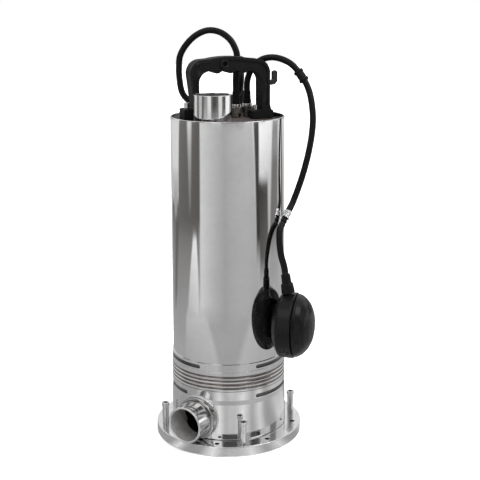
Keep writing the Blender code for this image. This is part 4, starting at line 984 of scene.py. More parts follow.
def curtain(name, place, bottom, top, material):
    first, last, first_grey, last_grey = place
    count = max(2, round((last - first) / CARD_ANGLE) + 1)
    points, levels = [], []
    for share in (i / (count - 1) for i in range(count)):
        way = around(between(first, last, share)) * WALL_RADIUS
        points += [(way.x, way.y, bottom), (way.x, way.y, top)]
        levels += [glow_of(between(first_grey, last_grey, share))] * 2
    faces = [(2 * i, 2 * i + 1, 2 * i + 3, 2 * i + 2) for i in range(count - 1)]
    card(name, points, levels, [1.0] * len(points), faces, material)


def make_cards():
    material = card_material()
    for number, (name, place) in enumerate(FLOOR_CARDS.items()):
        floor_card(name, place, CARD_HEIGHT + CARD_STEP * number, material)
    for kind, curtains, bottom, top in (("low", LOW_CURTAINS, -1.0, CURTAIN_SPLIT),
                                        ("high", HIGH_CURTAINS, CURTAIN_SPLIT, WALL_HEIGHT)):
        for name, place in curtains.items():
            curtain(f"{kind}_curtain_{name}", place, bottom, top, material)
    rim = [tuple(around(a) * WALL_RADIUS * 1.02 + Vector((0, 0, WALL_HEIGHT))) for a in range(0, 360, 6)]
    card("ceiling", rim, [glow_of(CEILING_GREY)] * len(rim), [1.0] * len(rim), [tuple(range(len(rim)))],
         material)


# Soft lamps that light the pump. A sun is the azimuth and height in degrees it shines from, its
# width in degrees and its power. A disk is its spot in metres, its power and its width in metres.
SOFT_SUNS = {
    "overhead": (0, 88, 150, 3.6), "front_right": (34, 42, 60, 2.6), "front_left": (-50, 50, 70, 0.15),
    "behind": (170, 55, 80, 1.2),
}
SOFT_DISKS = {"left": ((-1.1, -1.0, 1.9), 4.0, 1.3), "right": ((1.3, -0.5, 1.7), 9.0, 1.1)}
LAMP_AIM = (0, 0, 0.22)


def make_lights():
    """A white world that only the camera sees, and soft lamps over the object."""
    scene = bpy.context.scene
    scene.view_settings.view_transform = "Standard"
    world = bpy.data.worlds.new("white_room")
    world.use_nodes = True
    sky = world.node_tree.nodes["Background"].inputs
    sky["Color"].default_value, sky["Strength"].default_value = (1.0, 1.0, 1.0, 1.0), 1.0
    scene.world = world
    world.cycles_visibility.glossy = world.cycles_visibility.diffuse = False
    for name, (azimuth, rise, width, power) in SOFT_SUNS.items():
        sun = bpy.data.lights.new(f"soft_sun_{name}", "SUN")
        sun.energy, sun.angle = power, radians(width)
        holder = loose_object(f"soft_sun_{name}", sun)
        source = around(azimuth) * cos(radians(rise)) + Vector((0, 0, sin(radians(rise))))
        holder.matrix_world = source.to_track_quat("Z", "Y").to_matrix().to_4x4()
        holder.visible_glossy = False
    for name, (spot, power, size) in SOFT_DISKS.items():
        lamp = bpy.data.lights.new(f"soft_lamp_{name}", "AREA")
        lamp.energy, lamp.size, lamp.shape = power, size, "DISK"
        holder = loose_object(f"soft_lamp_{name}", lamp)
        heading = Vector(LAMP_AIM) - Vector(spot)
        holder.matrix_world = Matrix.Translation(spot) @ heading.to_track_quat("-Z", "Y").to_matrix().to_4x4()


make_camera()
make_floor()
make_cards()
make_lights()
finish_cad_nodes()


# ======== Leads: the mains lead and the float's lead ========

CURVE_STEPS = 24  # between two given points of a route


def smooth_route(points, spacing):
    """Points at even steps along a smooth curve through the given ones."""
    own = [Vector(p) for p in points]
    own = [own[0] * 2 - own[1]] + own + [own[-1] * 2 - own[-2]]
    fine = []
    for before, start, end, after in zip(own, own[1:], own[2:], own[3:]):
        knots = [0.0]
        for a, b in ((before, start), (start, end), (end, after)):
            knots.append(knots[-1] + (b - a).length ** 0.5)
        leave = ((start - before) / (knots[1] - knots[0]) - (end - before) / (knots[2] - knots[0])
                 + (end - start) / (knots[2] - knots[1])) * (knots[2] - knots[1])
        arrive = ((end - start) / (knots[2] - knots[1]) - (after - start) / (knots[3] - knots[1])
                  + (after - end) / (knots[3] - knots[2])) * (knots[2] - knots[1])
        for t in (i / CURVE_STEPS for i in range(CURVE_STEPS)):
            fine.append((2 * t**3 - 3 * t**2 + 1) * start + (t**3 - 2 * t**2 + t) * leave
                        + (-2 * t**3 + 3 * t**2) * end + (t**3 - t**2) * arrive)
    return even_route(fine + [own[-2]], spacing)


def even_route(fine, spacing):
    """The same line with its points at even steps."""
    reach = [0.0]
    for a, b in zip(fine, fine[1:]):
        reach.append(reach[-1] + (b - a).length)
    count = max(2, round(reach[-1] / spacing))
    even, index = [], 0
    for i in range(count + 1):
        target = reach[-1] * i / count
        while index < len(fine) - 2 and reach[index + 1] < target:
            index += 1
        share = (target - reach[index]) / max(reach[index + 1] - reach[index], 1e-9)
        even.append(fine[index].lerp(fine[index + 1], min(max(share, 0.0), 1.0)))
    return even


COIL_CENTRE = (-1.0, 158.0)
COIL_TURNS = 3.5
COIL_LAYERS = 4
COIL_PITCH = 8.2
COIL_REST = 1.8
COIL_MIDDLE_RADIUS = 46.0
COIL_START_RADIUS = COIL_MIDDLE_RADIUS + COIL_TURNS * COIL_PITCH / 2
COIL_INNER_RADIUS = COIL_MIDDLE_RADIUS - COIL_TURNS * COIL_PITCH / 2
COIL_TOP = COIL_REST + 2 * CABLE_RADIUS + (COIL_LAYERS - 1) * COIL_PITCH
LOOP_POINTS = 72


def coil_route():
    """Turns that spiral in and out, and climb a layer in the half turn where they reverse."""
    points = []
    for turn in (i / LOOP_POINTS for i in range(round(COIL_TURNS * COIL_LAYERS * LOOP_POINTS) + 1)):
        layer = min(int(turn / COIL_TURNS), COIL_LAYERS - 1)
        within = turn - layer * COIL_TURNS
        inward = within if layer % 2 == 0 else COIL_TURNS - within
        radius = COIL_START_RADIUS - inward * COIL_PITCH
        climb = 0.0
        for step in range(1, COIL_LAYERS):
            past = min(max((turn - step * COIL_TURNS) / 0.5 + 0.5, 0.0), 1.0)
            climb += past * past * (3 - 2 * past)
        angle = -pi / 2 + 2 * pi * turn
        points.append(Vector((COIL_CENTRE[0] + radius * cos(angle), COIL_CENTRE[1] + radius * sin(angle),
                              COIL_REST + CABLE_RADIUS + climb * COIL_PITCH)))
    straight = Vector((2 * CABLE_RADIUS, 0, 0))
    return [points[0] - straight] + points + [points[-1] + straight]


COIL = coil_route()
CABLE_START = BOOT_TOP + SEAT
POWER_ROUTE = [
    (*POWER_GLAND, CABLE_START), (9.6, 36.3, 414), (10.4, 37, 428), (10.9, 39, 441),
    (7.5, 41, 451), (2.8, 43, 458.2), (-8.5, 45.5, 466.4), (-22.4, 48, 468.6), (-36.6, 50.5, 463),
    (-48.8, 52.5, 451.4), (-56.0, 54, 438.6), (-57.5, 55, 425), (-57.0, 55.5, 410.8),
    (-53.6, 56.2, 394.5), (-43.5, 57, 383.6), (-28, 57.8, 379.6), (-12, 58.4, 379.6),
    (3.5, 59, 384), (13.4, 60, 397.5), (15.6, 62.5, 411), (15.6, 69.5, 424), (15.6, 80.5, 431.4),
    (15.6, 93, 432.6), (15.5, 105, 428), (15.4, 114.5, 418), (15.3, 119, 404), (15, 120, 385),
    (13, 118.5, 350), (10, 115.5, 300), (6, 112, 250), (0, 108, 190), (-10, 104, 135),
    (-23, 100.5, 90), (-38, 98, 55), (-47, 96, 32), (-46, 94.5, 16), (-36, 94.6, 7.6),
    (-27, 96.4, 5.6), COIL[0] - Vector((SEAT + 9, 0, 0)), COIL[0] - Vector((SEAT, 0, 0)),
]
PLUG_RADIUS = 16.5
PLUG_ENTRY = Vector((39.0, 148.0, COIL_TOP + SEAT + PLUG_RADIUS))
PLUG_HEADING = Vector((-0.32, 0.947, 0.0))
PLUG_ROUTE = [
    COIL[-1] + Vector((SEAT, 0, 0)), COIL[-1] + Vector((9, 0, 0.4)), (27, 101.5, 36.5), (37.5, 109, 43.5),
    (43.5, 120.5, 48.8), PLUG_ENTRY - PLUG_HEADING * 11, PLUG_ENTRY - PLUG_HEADING * SEAT,
]
SWING_POINT = Vector((63.3, -30.0, 258.6))
SWING_HEADING = Vector((-0.41, -0.58, -0.70))
SWING_UP = -SWING_HEADING.normalized()
CLIP_END = SWING_POINT + SWING_UP * (BEAD_RADIUS + SEAT)
CLIP_START = CLIP_END + SWING_UP * CLIP_SPAN
SLEEVE_SPOT = (84.6, 26.0, 418.2)
FLOAT_UPPER_ROUTE = [
    (*FLOAT_GLAND, CABLE_START), (*FLOAT_GLAND, CABLE_START + 8), (24.4, 47.2, 416), (30.4, 45.6, 427),
    (40.4, 42.3, 435.4), (54.9, 38, 437.6), (71.7, 32, 431.6), SLEEVE_SPOT, (93.4, 20, 401.4),
    (97.3, 12, 379.4), (97.4, 7, 362.6), (93.5, -0.5, 337.3), (85.2, -8, 306.4),
    CLIP_START + SWING_UP * 12, CLIP_START, CLIP_END,
]
RELIEF_LENGTH = 21.0
RELIEF_BASE = Vector((67.9, -50.6, 181.4))
RELIEF_UP = (Vector((64.6, -50.2, 202.2)) - RELIEF_BASE).normalized()
FLOAT_LOWER_ROUTE = [
    SWING_POINT - SWING_UP * (BEAD_RADIUS + SEAT),
    (58.9, -38.4, 251.5), (58.1, -42.6, 243.5), (58.4, -45.6, 234), (60.0, -48, 222.6),
    RELIEF_BASE + RELIEF_UP * (RELIEF_LENGTH + SEAT + 8), RELIEF_BASE + RELIEF_UP * (RELIEF_LENGTH + SEAT),
]


def lead(name, route, body, nodes):
    """A round lead as one open spline."""
    curve = bpy.data.curves.new(name, "CURVE")
    curve.dimensions = "3D"
    curve.bevel_depth = CABLE_RADIUS * MM
    curve.bevel_resolution = 6
    curve.use_fill_caps = True
    spline = curve.splines.new("POLY")
    spline.points.add(len(route) - 1)
    for point, spot in zip(spline.points, route):
        point.co = (*(c * MM for c in spot), 1.0)
    spline.use_smooth = True
    curve.materials.append(LEAD_RUBBER)
    piece = loose_object(name, curve)
    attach(piece, body)
    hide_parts(*nodes)
    return piece


# ======== Base flange, its screws and the casing ========

INLET_PLACE = along((0, 0, INLET_HEIGHT), around(INLET_AZIMUTH))


def build_flange():
    inside, floor = CASING_INNER - 3.0, 6.0
    profile = [(0, floor), (inside, floor), (inside, FLANGE_TOP), (FLANGE_RADIUS, FLANGE_TOP),
               (FLANGE_RADIUS, 0), (0, 0)]
    flange = soft_turned(profile, [0, 0.6, 0.6, 1.0, 0.8, 0])
    first = radians(BOLT_AZIMUTH)
    for count, azimuth, radius in ((BOLT_COUNT, first, 3.2), (PLAIN_HOLES, first + pi / 8, 2.8)):
        flange = through_tree(flange, DRILLED, {
            "Count": count, "Circle Radius": BOLT_CIRCLE * MM, "First Azimuth": azimuth,
            "Hole Radius": radius * MM, "Hole Height": 0.03, "Facets": 36})
    finished("base_plate", beveled(flange, 0.3, 2, 55), FLANGE_STEEL, ("base_flange",))


def build_flange_screws():
    head, shank, tip, socket = 4.6, 3.8, 2.9, 2.6
    under_head, seat = BOLT_TOP - 3.6, FLANGE_TOP + SEAT
    profile = [(0, BOLT_TOP - socket), (tip, BOLT_TOP - socket), (tip, BOLT_TOP), (head, BOLT_TOP),
               (head, under_head), (shank, under_head - 0.8), (shank, seat), (tip, seat), (tip, 1.0),
               (0, 1.0)]
    screw = soft_turned(profile, [0, 0, 0.15, 0.6, 0.5, 0.4, 0.05, 0.1, 0.6, 0], SMALL)
    plug = extruded(hexagon(socket), 2.6)
    plug.transform(at(0, 0, BOLT_TOP - socket - 1.2))
    ring = through_tree(cut(screw, [plug]), COPIES, {
        "Count": BOLT_COUNT, "Circle Radius": BOLT_CIRCLE * MM, "First Azimuth": radians(BOLT_AZIMUTH)})
    finished("flange_screws", ring, SCREW_STEEL, [f"flange_bolt_{i + 1}" for i in range(BOLT_COUNT)])


def slot_cutter(inner, outer, bottom, first, sweep):
    """A curved bar with round ends that cuts a slot through a round wall."""
    half = SLOT_HEIGHT / 2
    middle, top, end_angle = bottom + half, bottom + SLOT_HEIGHT, degrees(half / outer)
    start, end, straight = first + end_angle, first + sweep - end_angle, sweep - 2 * end_angle
    count = max(8, round(sweep / 1.5))
    last_end, first_end = ([turn + pi * i / 8 for i in range(1, steps)] for turn, steps in
                           ((-pi / 2, 9), (pi / 2, 8)))
    outline = [(start + straight * i / count, bottom) for i in range(count + 1)]
    outline += [(end + end_angle * cos(a), middle + half * sin(a)) for a in last_end]
    outline += [(end - straight * i / count, top) for i in range(1, count + 1)]
    outline += [(start + end_angle * cos(a), middle + half * sin(a)) for a in first_end]
    points, size = [], len(outline)
    for reach in (inner, outer):
        for azimuth, z in outline:
            way = around(azimuth)
            points.append((way.x * reach, way.y * reach, z))
    faces = [tuple(range(size)), tuple(reversed(range(size, 2 * size)))]
    faces += [(i, (i + 1) % size, size + (i + 1) % size, size + i) for i in range(size)]
    return reworked(mesh_from(points, (), faces), lambda work: bmesh.ops.triangulate(
        work, faces=[f for f in work.faces if len(f.verts) > 4]))


def build_casing():
    bottom = FLANGE_TOP + SEAT
    profile = [(COLLAR_RADIUS, CASING_TOP), (COLLAR_RADIUS, CASING_STEP + 0.4),
               (COLLAR_RADIUS + 0.45, CASING_STEP - 4.6), (CASING_RADIUS, bottom), (CASING_INNER, bottom),
               (CASING_INNER, CASING_TOP)]
    casing = soft_turned(profile, [0.1, 9.0, 9.0, 1.0, 0.3, 0.3], ring=True)
    bore = rod(INLET_RADIUS - INLET_WALL, CASING_INNER - 8, CASING_RADIUS + 8, FINE, INLET_PLACE)
    slots = [slot_cutter(CASING_INNER - 2, CASING_RADIUS + 2, LOWER_SLOT_BOTTOM, first, sweep)
             for first, sweep in ((SLOT_START, SLOT_SWEEP), (-SLOT_START - SLOT_SWEEP, INLET_SIDE_SWEEP),
                                  (180 - SLOT_SWEEP / 2, SLOT_SWEEP))]
    casing = beveled(cut(casing, [bore] + slots), 0.25, 2, 50)
    finished("pump_casing", casing, TURNED_STEEL, ("suction_casing",))


# ======== Inlet and outlet: stubs, weld collar and weld bead ========

def stub(radius, wall, root, face, place):
    """A pipe stub along a place's +Z: a square lip with broken edges, and a smooth bore."""
    bore = radius - wall
    profile = [(bore, face), (radius, face), (radius, root), (bore, root)]
    return soft_turned(profile, [0.9, 0.6, 0.2, 0.2], FINE, place, ring=True)


def line_bore(piece, place, bore, material):
    """Give the wall of a stub's bore its machined finish."""
    piece.data.materials.append(material)
    back = place.inverted()
    for face in piece.data.polygons:
        spot = back @ face.center
        if hypot(spot.x, spot.y) < (bore + 0.12) * MM:
            face.material_index = 1


def build_inlet():
    wall = rod(CASING_RADIUS + SEAT, -5, INLET_HEIGHT * 2 + 20, ROUND)
    mesh = cut(stub(INLET_RADIUS, INLET_WALL, INLET_ROOT, INLET_REACH, INLET_PLACE), [wall])
    piece = finished("inlet_pipe_stub", mesh, TURNED_STEEL, ("inlet_stub",))
    line_bore(piece, INLET_PLACE, INLET_RADIUS - INLET_WALL, INLET_BORE_STEEL)

    inner = INLET_RADIUS + SEAT
    profile = [(inner, INLET_COLLAR_REACH), (INLET_COLLAR_RADIUS, INLET_COLLAR_REACH),
               (INLET_COLLAR_RADIUS, INLET_ROOT), (inner, INLET_ROOT)]
    collar = soft_turned(profile, [0.3, 1.3, 0.2, 0.2], FINE, INLET_PLACE, ring=True)
    floor = rod(FLANGE_RADIUS + 5, -5, FLANGE_TOP + SEAT, FINE)
    finished("inlet_weld_collar", cut(collar, [wall, floor]), WELD_STEEL, ("inlet_collar",))


def build_weld_bead():
    """The bead between the collar and the casing, open where the collar meets the flange."""
    forward = around(INLET_AZIMUTH)
    across = Vector((-forward.y, forward.x, 0.0))
    radius, start, end, count = INLET_COLLAR_RADIUS + 0.45, -71, 251, 240
    line = []
    for angle in (radians(start + (end - start) * i / count) for i in range(count + 1)):
        side, rise = radius * cos(angle), radius * sin(angle)
        reach = sqrt((CASING_RADIUS + BEAD_LIFT) ** 2 - side ** 2)
        line.append(forward * reach + across * side + Vector((0, 0, INLET_HEIGHT + rise)))
    bead = through_tree(line_from(line), WELD_BEAD, {"Bead Radius": 0.85 * MM, "Ripple": 0.14,
                                                     "Ripple Length": 1.5 * MM, "Sides": 12})
    finished("inlet_weld_bead", bead, SCREW_STEEL)


def build_outlet():
    place = at(*OUTLET_SPOT, 0)
    mesh = stub(OUTLET_RADIUS, OUTLET_WALL, LID_TOP + SEAT, OUTLET_TOP, place)
    piece = finished("outlet_pipe_stub", mesh, TURNED_STEEL, ("outlet_stub",))
    line_bore(piece, place, OUTLET_RADIUS - OUTLET_WALL, OUTLET_BORE_STEEL)


# ======== Collar, band, liner, jacket and lid ========

def build_collar():
    ring = through_tree(mesh_from([(0, 0, 0)]), GROOVED_RING, {
        "Outer Radius": COLLAR_RADIUS * MM, "Inner Radius": CASING_INNER * MM,
        "Bottom": (CASING_TOP + SEAT) * MM, "Top": COLLAR_TOP * MM,
        "First Groove": (CASING_TOP + 3.6) * MM, "Pitch": 4.4 * MM, "Grooves": 4, "Depth": 1.0 * MM,
        "Half Width": 1.5 * MM, "Edge": 0.5 * MM, "Rows": 170, "Steps": ROUND})
    finished("grooved_collar", ring, COLLAR_STEEL, ("ribbed_collar",))


def build_band():
    bottom = COLLAR_TOP + SEAM
    profile = [(COLLAR_RADIUS, BAND_TOP), (COLLAR_RADIUS, bottom), (CASING_INNER, bottom),
               (CASING_INNER, BAND_TOP)]
    slots = [slot_cutter(CASING_INNER - 2, COLLAR_RADIUS + 2, UPPER_SLOT_BOTTOM, start, SLOT_SWEEP)
             for start in UPPER_SLOT_STARTS]
    band = cut(soft_turned(profile, [0.06, 0.3, 0.15, 0.06], ring=True), slots)
    finished("slotted_ring", beveled(band, 0.22, 2, 50), TURNED_STEEL, ("slotted_band",))


def build_liner():
    outer = CASING_INNER - SEAT
    inner, top, bottom = outer - 1.6, BAND_TOP - SEAT, LOWER_SLOT_BOTTOM - 3.3
    liner = soft_turned([(outer, top), (outer, bottom), (inner, bottom), (inner, top)], 0.3, ring=True)
    # The backing's near-black colour is painted shade inside the slots.
    finished("slot_backing", liner, SLOT_SHADE_STEEL, ("slot_liner",))


def build_jacket():
    inner, bottom = JACKET_RADIUS - JACKET_WALL, BAND_TOP + SEAM
    profile = [(inner, JACKET_TOP), (JACKET_RADIUS, JACKET_TOP), (JACKET_RADIUS, bottom), (inner, bottom)]
    jacket = soft_turned(profile, [0.6, 0.85, 0.06, 0.06], JACKET_STEPS, ring=True, rounds=6)
    finished("polished_jacket", jacket, MIRROR, ("outer_jacket",))


def build_lid():
    radius, bottom, sunk = JACKET_RADIUS - JACKET_WALL - SEAT, LID_TOP - 6.0, LID_TOP - 0.5
    profile = [(0, sunk), (radius - 5.0, sunk), (radius - 4.2, LID_TOP), (radius, LID_TOP),
               (radius, bottom), (0, bottom)]
    bore = rod(OUTLET_RADIUS - OUTLET_WALL, bottom - 3, LID_TOP + 3, FINE, at(*OUTLET_SPOT, 0))
    lid = cut(soft_turned(profile, [0, 0.4, 0.4, 0.9, 0.4, 0]), [bore])
    finished("top_plate", lid, LID_PLASTIC, ("top_lid",))


# ======== Cable glands and their boots ========

def build_gland(name, spot, turn):
    """A gland on its round foot: a hexagon, a pale cap ring, and the boot that comes out of it."""
    bottom, place = LID_TOP + SEAT, at(*spot, 0)
    foot_height, nut_height, cap_height = 4.2, 11.6, 14.6
    foot, nut_top, cap_top = bottom + foot_height, bottom + nut_height, bottom + cap_height
    corner, cap, sleeve = 7.5, 6.3, 5.0
    stem = cap - 0.9
    nut = extruded(hexagon(corner, turn), (nut_height - foot_height) / 2)
    nut.transform(at(0, 0, bottom + (nut_height + foot_height) / 2))
    chamfer = [(0, nut_top), (corner * 0.86, nut_top), (corner + 0.02, nut_top - 1.1),
               (corner + 0.02, foot + 0.6), (corner - 0.6, foot), (0, foot)]
    nut = cut(nut, [soft_turned(chamfer, 0.2, FINE)], "INTERSECT")
    core = [(0, nut_top + 0.5), (stem, nut_top + 0.5), (stem, foot - 0.5), (cap, foot - 0.5), (cap, bottom),
            (0, bottom)]
    nut = cut(nut, [soft_turned(core, 0.2, SMALL)], "UNION")
    nut.transform(place)
    finished(f"{name}_gland_nut", nut, NICKEL, (f"{name}_gland",), sharp=24)

    ring = [(0, cap_top), (cap - 0.4, cap_top), (cap, nut_top + 0.9), (cap, nut_top + SEAM),
            (0, nut_top + SEAM)]
    finished(f"{name}_gland_cap", soft_turned(ring, [0, 0.8, 0.5, 0.2, 0], SMALL, place), SCREW_STEEL)

    base = cap_top + SEAM
    profile = [(0, BOOT_TOP), (4.15, BOOT_TOP), (4.4, base + 5.5), (sleeve, base + 2.0), (sleeve, base),
               (0, base)]
    boot = soft_turned(profile, [0, 0.35, 3.0, 0.6, 0.3, 0], SMALL, place, rounds=3)
    finished(f"{name}_strain_boot", boot, LEAD_RUBBER, (f"{name}_boot",))


# ======== Handle, its screws and the cable hook ========

HANDLE_PLACE = (at(*HANDLE_SPOT, 0) @ Matrix.Rotation(radians(HANDLE_TURN), 4, "Z")
                @ Matrix.Rotation(pi / 2, 4, "X") @ at(HANDLE_SLIDE, 0, 0))


def grip_line(lift=0.0, count=72):
    """The scalloped underside of the grip, from right to left."""
    xs = [GRIP_HALF_SPAN - 2 * GRIP_HALF_SPAN * i / count for i in range(count + 1)]
    return [(x, WINDOW_TOP - FINGER_DEPTH * (0.5 + 0.5 * cos(2 * pi * x / FINGER_PITCH)) + lift) for x in xs]


def crown_line(drop=0.0):
    """The top of the handle from left to right, as one low curve."""
    centre, radius = HANDLE_HALF_WIDTH - SHOULDER, SHOULDER - drop
    middle = []
    for x in (-28 + 56 * i / 16 for i in range(1, 16)):
        part = (x / 27.7) ** 2
        middle.append((x, HANDLE_TOP - drop - 3.22 * part * (1.0 - 0.14 * (1 - part))))
    return (arc((-centre, SHOULDER_HEIGHT), radius, 180, 100, 18) + middle
            + arc((centre, SHOULDER_HEIGHT), radius, 80, 0, 18))


def window_line(rim, count):
    """The top of the handle's window from right to left, a rim's width outside it."""
    centre, radius = HANDLE_INNER - WINDOW_CORNER, WINDOW_CORNER + rim
    return (arc((centre, WINDOW_SIDE_TOP), radius, 0, 80, count) + grip_line(rim)
            + arc((-centre, WINDOW_SIDE_TOP), radius, 100, 180, count))


def handle_outline():
    base, width, inner, window = LID_TOP + SEAT, HANDLE_HALF_WIDTH, HANDLE_INNER, WINDOW_SIDE_TOP
    left, right = LEFT_FOOT_TOP, RIGHT_FOOT_TOP
    left_end, right_end = -width - LEFT_FOOT_REACH, width + RIGHT_FOOT_REACH
    right_start, left_step = width - RIGHT_FOOT_LENGTH, -width + 4
    outer_left = softened([(left_end, base), (left_end, left), (left_step, left), (left_step, left + 8),
                           (-width, SHOULDER_HEIGHT)], [1.0, 2.0, 1.5, 3.0, 0], closed=False)
    right_leg = softened([(width, SHOULDER_HEIGHT), (width, right + 7), (width + 1.5, right + 1),
                          (right_end, right), (right_end, base), (right_start, base), (right_start, right),
                          (inner, right), (inner, window)],
                         [0, 4.0, 2.0, 1.5, 0.8, 0.8, 1.5, 1.8, 0], closed=False)
    inner_left = softened([(-inner, window), (-inner, left + 6), (-inner + 2, left - 1), (-inner + 2, base)],
                          [0, 4.0, 2.0, 0.8], closed=False)
    return outer_left[:-1] + crown_line() + right_leg[1:-1] + window_line(0.0, 16) + inner_left[1:]


def web_outline():
    """The sunk web of the bow, inside its rims."""
    rim, lower_rim, low, low_right = 3.3, 2.1, LEFT_FOOT_TOP + 14, RIGHT_FOOT_TOP + 6
    return ([(-HANDLE_HALF_WIDTH + rim + 0.6, low)] + crown_line(rim)
            + [(HANDLE_HALF_WIDTH - rim, low_right), (HANDLE_INNER + lower_rim, low_right)]
            + window_line(lower_rim, 14) + [(-HANDLE_INNER - lower_rim, low)])


def build_handle():
    sunk, half = 1.9, 3.0
    cutters = []
    for side in (1, -1):
        web = cut(extruded(web_outline(), half), [rod(5.6, -5, 5, SMALL, at(*MARK, 0))])
        web.transform(at(0, 0, side * (HANDLE_HALF_DEPTH + half - sunk)))
        cutters.append(web)
    cutters.append(rod(2.8, HANDLE_HALF_DEPTH - 4.0, HANDLE_HALF_DEPTH + 3, SMALL, at(*MARK, 0)))
    handle = cut(extruded(handle_outline(), HANDLE_HALF_DEPTH, 2.4, 5), cutters)
    handle = beveled(handle, 0.45, 3, 50)
    handle.transform(HANDLE_PLACE)
    finished("carrying_handle", handle, HANDLE_PLASTIC, ("handle",))


def build_handle_screws():
    turn, head, socket = radians(HANDLE_TURN), 3.0, 1.75
    left = (HANDLE_HALF_WIDTH * 2 + 3.5) / 2
    right = (2 * HANDLE_HALF_WIDTH - RIGHT_FOOT_LENGTH - HANDLE_LEG) / 2
    for name, slide, depth, top in (("left", HANDLE_SLIDE - left, 0.0, LEFT_FOOT_TOP),
                                    ("right", HANDLE_SLIDE + right, -4.0, RIGHT_FOOT_TOP)):
        x = HANDLE_SPOT[0] + slide * cos(turn) - depth * sin(turn)
        y = HANDLE_SPOT[1] + slide * sin(turn) + depth * cos(turn)
        low = top + SEAT
        high = low + 6.2
        profile = [(0, high - 2.4), (socket, high - 2.4), (socket, high), (head, high), (head, low), (0, low)]
        screw = soft_turned(profile, [0, 0, 0.12, 0.5, 0.2, 0], SMALL, at(x, y, 0))
        finished(f"handle_screw_head_{name}", screw, SCREW_STEEL, (f"handle_screw_{name}",))


def build_hook():
    inner, outer, top = HANDLE_HALF_WIDTH + SEAT, HANDLE_HALF_WIDTH + 11.6, HANDLE_TOP - 17.0
    tab, bottom = outer - 5.4, top - 16.5
    floor = bottom + 5.0
    outline = [(inner, floor + 3), (inner, bottom + 1), (inner + 2, bottom - 0.5), (outer - 3, bottom),
               (outer, bottom + 4), (outer, top - 2), (outer - 2, top), (tab, top - 1.5), (tab, floor + 1),
               (tab - 0.8, floor), (inner + 0.9, floor)]
    radii = [0.6, 0.6, 1.5, 3.0, 3.0, 1.6, 1.4, 0.8, 1.0, 1.0, 0.8]
    hook = extruded(softened(outline, radii), 3.0, 0.7, 4)
    hook.transform(HANDLE_PLACE)
    finished("lead_hook", hook, HOOK_PLASTIC, ("cable_hook",))


# ======== What is on the leads: sleeve, clear clip, bead, coil tie and plug ========

def build_sleeve():
    """The black sleeve clip, whose mouths flare, on the lead's straight beside the hook."""
    coarse = smooth_route(FLOAT_UPPER_ROUTE, 15.0)
    spans = [((a + b) / 2, b - a) for a, b in zip(coarse, coarse[1:])]
    middle, heading = min(spans, key=lambda span: (span[0] - Vector(SLEEVE_SPOT)).length)
    mouth, half, bore = 5.9, 7.0, CABLE_RADIUS + 0.75
    neck = mouth - 0.9
    profile = [(bore, half), (mouth, half), (mouth, half - 2.2), (neck, half - 3.4), (neck, 3.4 - half),
               (mouth, 2.2 - half), (mouth, -half), (bore, -half)]
    sleeve = soft_turned(profile, [0.3, 0.5, 0.6, 0.6, 0.6, 0.6, 0.5, 0.3], SMALL, along(middle, heading),
                         ring=True)
    return finished("lead_sleeve_clip", sleeve, HANDLE_PLASTIC, ("cable_sleeve",))


def build_clear_clip():
    bore, outer, length = CABLE_RADIUS + SEAT, 4.9, 9.0
    waist = outer - 0.35
    profile = [(bore, length), (outer, length), (outer, length - 2), (waist, length - 2.6), (waist, 2.6),
               (outer, 2.0), (outer, 0), (bore, 0)]
    clip = soft_turned(profile, 0.3, SMALL, along(CLIP_END, SWING_UP), ring=True)
    finished("clear_lead_clip", clip, CLEAR_PLASTIC, ("body_clip",))


def build_bead():
    profile = [(BEAD_RADIUS * sin(radians(a)), BEAD_RADIUS * cos(radians(a))) for a in range(0, 181, 9)]
    profile[0], profile[-1] = (0, BEAD_RADIUS), (0, -BEAD_RADIUS)
    bead = turned(profile, SMALL, along(SWING_POINT, SWING_HEADING))
    finished("lead_swing_bead", bead, LEAD_RUBBER, ("cable_bead",), "float_switch")


def build_tie():
    """The strap round the coil, with rounded corners."""
    inner, outer = COIL_INNER_RADIUS - CABLE_RADIUS - 0.6, COIL_START_RADIUS + CABLE_RADIUS + 0.6
    low, high, wall = COIL_REST - 0.5, COIL_TOP + 0.5, 1.2
    strap = extruded(rounded_box(inner - wall, outer + wall, low - wall, high + wall, 3.4), 4.5, 0.3, 2)
    strap = cut(strap, [extruded(rounded_box(inner, outer, low, high, 2.2), 9.0)])
    strap.transform(at(*COIL_CENTRE, 0) @ Matrix.Rotation(pi, 4, "Z") @ Matrix.Rotation(pi / 2, 4, "X"))
    return finished("coil_strap", strap, HOOK_PLASTIC, ("coil_tie",))


def build_plug():
    boot, length, pin_length, pin_gap, ribs = 26.0, 64.0, 19.0, 19.0, 5
    widest, tip = PLUG_RADIUS - 8.2, CABLE_RADIUS + 0.8
    profile = [(0, length), (PLUG_RADIUS, length), (PLUG_RADIUS, boot + 12), (PLUG_RADIUS - 3.5, boot + 4),
               (PLUG_RADIUS - 7.5, boot)]
    for top in (boot - 2.0 - 4.4 * i for i in range(ribs)):
        radius = widest - (widest - CABLE_RADIUS - 0.8) * (boot - top) / boot
        profile += [(radius, top), (radius - 0.9, top - 0.5), (radius - 0.9, top - 1.7),
                    (radius - 0.2, top - 2.2)]
    profile += [(tip, 0), (0, 0)]
    body = soft_turned(profile, 0.9, FINE, along(PLUG_ENTRY, PLUG_HEADING), rounds=4)
    pieces = [finished("mains_plug", body, PLUG_RUBBER, ("plug_body",))]
    sideways = Vector((-PLUG_HEADING.y, PLUG_HEADING.x, 0))
    profile = [(0, pin_length), (2.4, pin_length), (2.4, 0), (0, 0)]
    for i, side in enumerate((-0.5, 0.5)):
        foot = PLUG_ENTRY + PLUG_HEADING * (length + SEAT) + sideways * pin_gap * side
        pin = soft_turned(profile, [0, 1.6, 0.1, 0], SMALL, along(foot, PLUG_HEADING))
        pieces.append(finished(f"plug_contact_{i + 1}", pin, BRASS, (f"plug_pin_{i + 1}",)))
    return pieces


# ======== Float ========

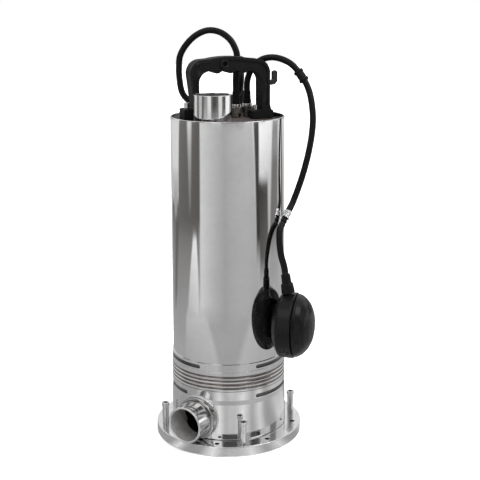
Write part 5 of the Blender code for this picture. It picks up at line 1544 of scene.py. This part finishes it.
def build_float():
    radius, seam, top = FLOAT_RADIUS, FLOAT_SEAM, FLOAT_DEPTH
    place = along(FLOAT_CENTRE, around(FLOAT_AZIMUTH))
    inner = [(0, seam), (radius - 2.6, seam), (radius - 1.0, seam - 0.3), (radius, seam - 1.4),
             (radius, -11.0), (radius - 1.2, -13.6), (radius - 4.5, -15.6), (radius - 10, -19.3),
             (radius - 19, -22.4), (0, -FLOAT_DEPTH)]
    outer = [(0, top), (9, top - 0.5), (18, top - 2.4), (26, top - 6.2), (31.5, top - 11), (34.6, top - 15.5),
             (radius - 1.4, seam + 1.6), (radius - 2.6, seam + SEAT), (0, seam + SEAT)]
    for name, profile, radii, node in (
            ("float_inner_half", inner, [0, 0.3, 0.5, 0.8, 2.0, 2.0, 3.5, 8.0, 14.0, 0], "float_shell_inner"),
            ("float_domed_half", outer, [0, 20, 16, 14, 10, 6, 0.5, 0.3, 0], "float_shell_outer")):
        shell = soft_turned(profile, radii, FLOAT_STEPS, place, rounds=8)
        finished(name, shell, FLOAT_PLASTIC, (node,), "float_switch")

    step = RELIEF_LENGTH / 2
    profile = [(0, RELIEF_LENGTH), (5.1, RELIEF_LENGTH), (5.5, step + 0.3), (6.9, step - 0.5), (7.6, 0),
               (0, 0)]
    relief = soft_turned(profile, [0, 0.7, 0.5, 0.9, 0.1, 0], SMALL, along(RELIEF_BASE, RELIEF_UP))
    finished("float_strain_relief", relief, LEAD_RUBBER, ("float_relief",), "float_switch")


# ======== Everything together ========

for build in (build_flange, build_flange_screws, build_casing, build_inlet, build_weld_bead, build_collar,
              build_band, build_liner, build_jacket, build_lid, build_outlet):
    build()
build_gland("power", POWER_GLAND, 12.0)
build_gland("float", FLOAT_GLAND, 40.0)
build_handle()
build_handle_screws()
build_hook()
mains_route = smooth_route(POWER_ROUTE, 4.0) + COIL[1:-1] + smooth_route(PLUG_ROUTE, 4.0)
upper_route = smooth_route(FLOAT_UPPER_ROUTE, 4.0)
lower_route = smooth_route(FLOAT_LOWER_ROUTE, 3.0)
mains = lead("mains_lead", mains_route, "pump", ("power_cable", "power_coil", "power_cable_end"))
upper_lead = lead("float_lead_upper", upper_route, "pump", ("float_cable_upper",))
lower_lead = lead("float_lead_lower", lower_route, "float_switch", ("float_cable_lower",))
sleeve_clip = build_sleeve()
build_clear_clip()
build_bead()
coil_strap = build_tie()
plug_pieces = build_plug()
build_float()

for piece, route, end, stiffness, lay, carried in (
        (mains, mains_route, "plug", "medium", "coiled", plug_pieces + [coil_strap]),
        (upper_lead, upper_route, "object", "medium", "hanging", [sleeve_clip]),
        (lower_lead, lower_route, "object", "medium", "hanging", [])):
    start = tuple(c * MM for c in route[0])
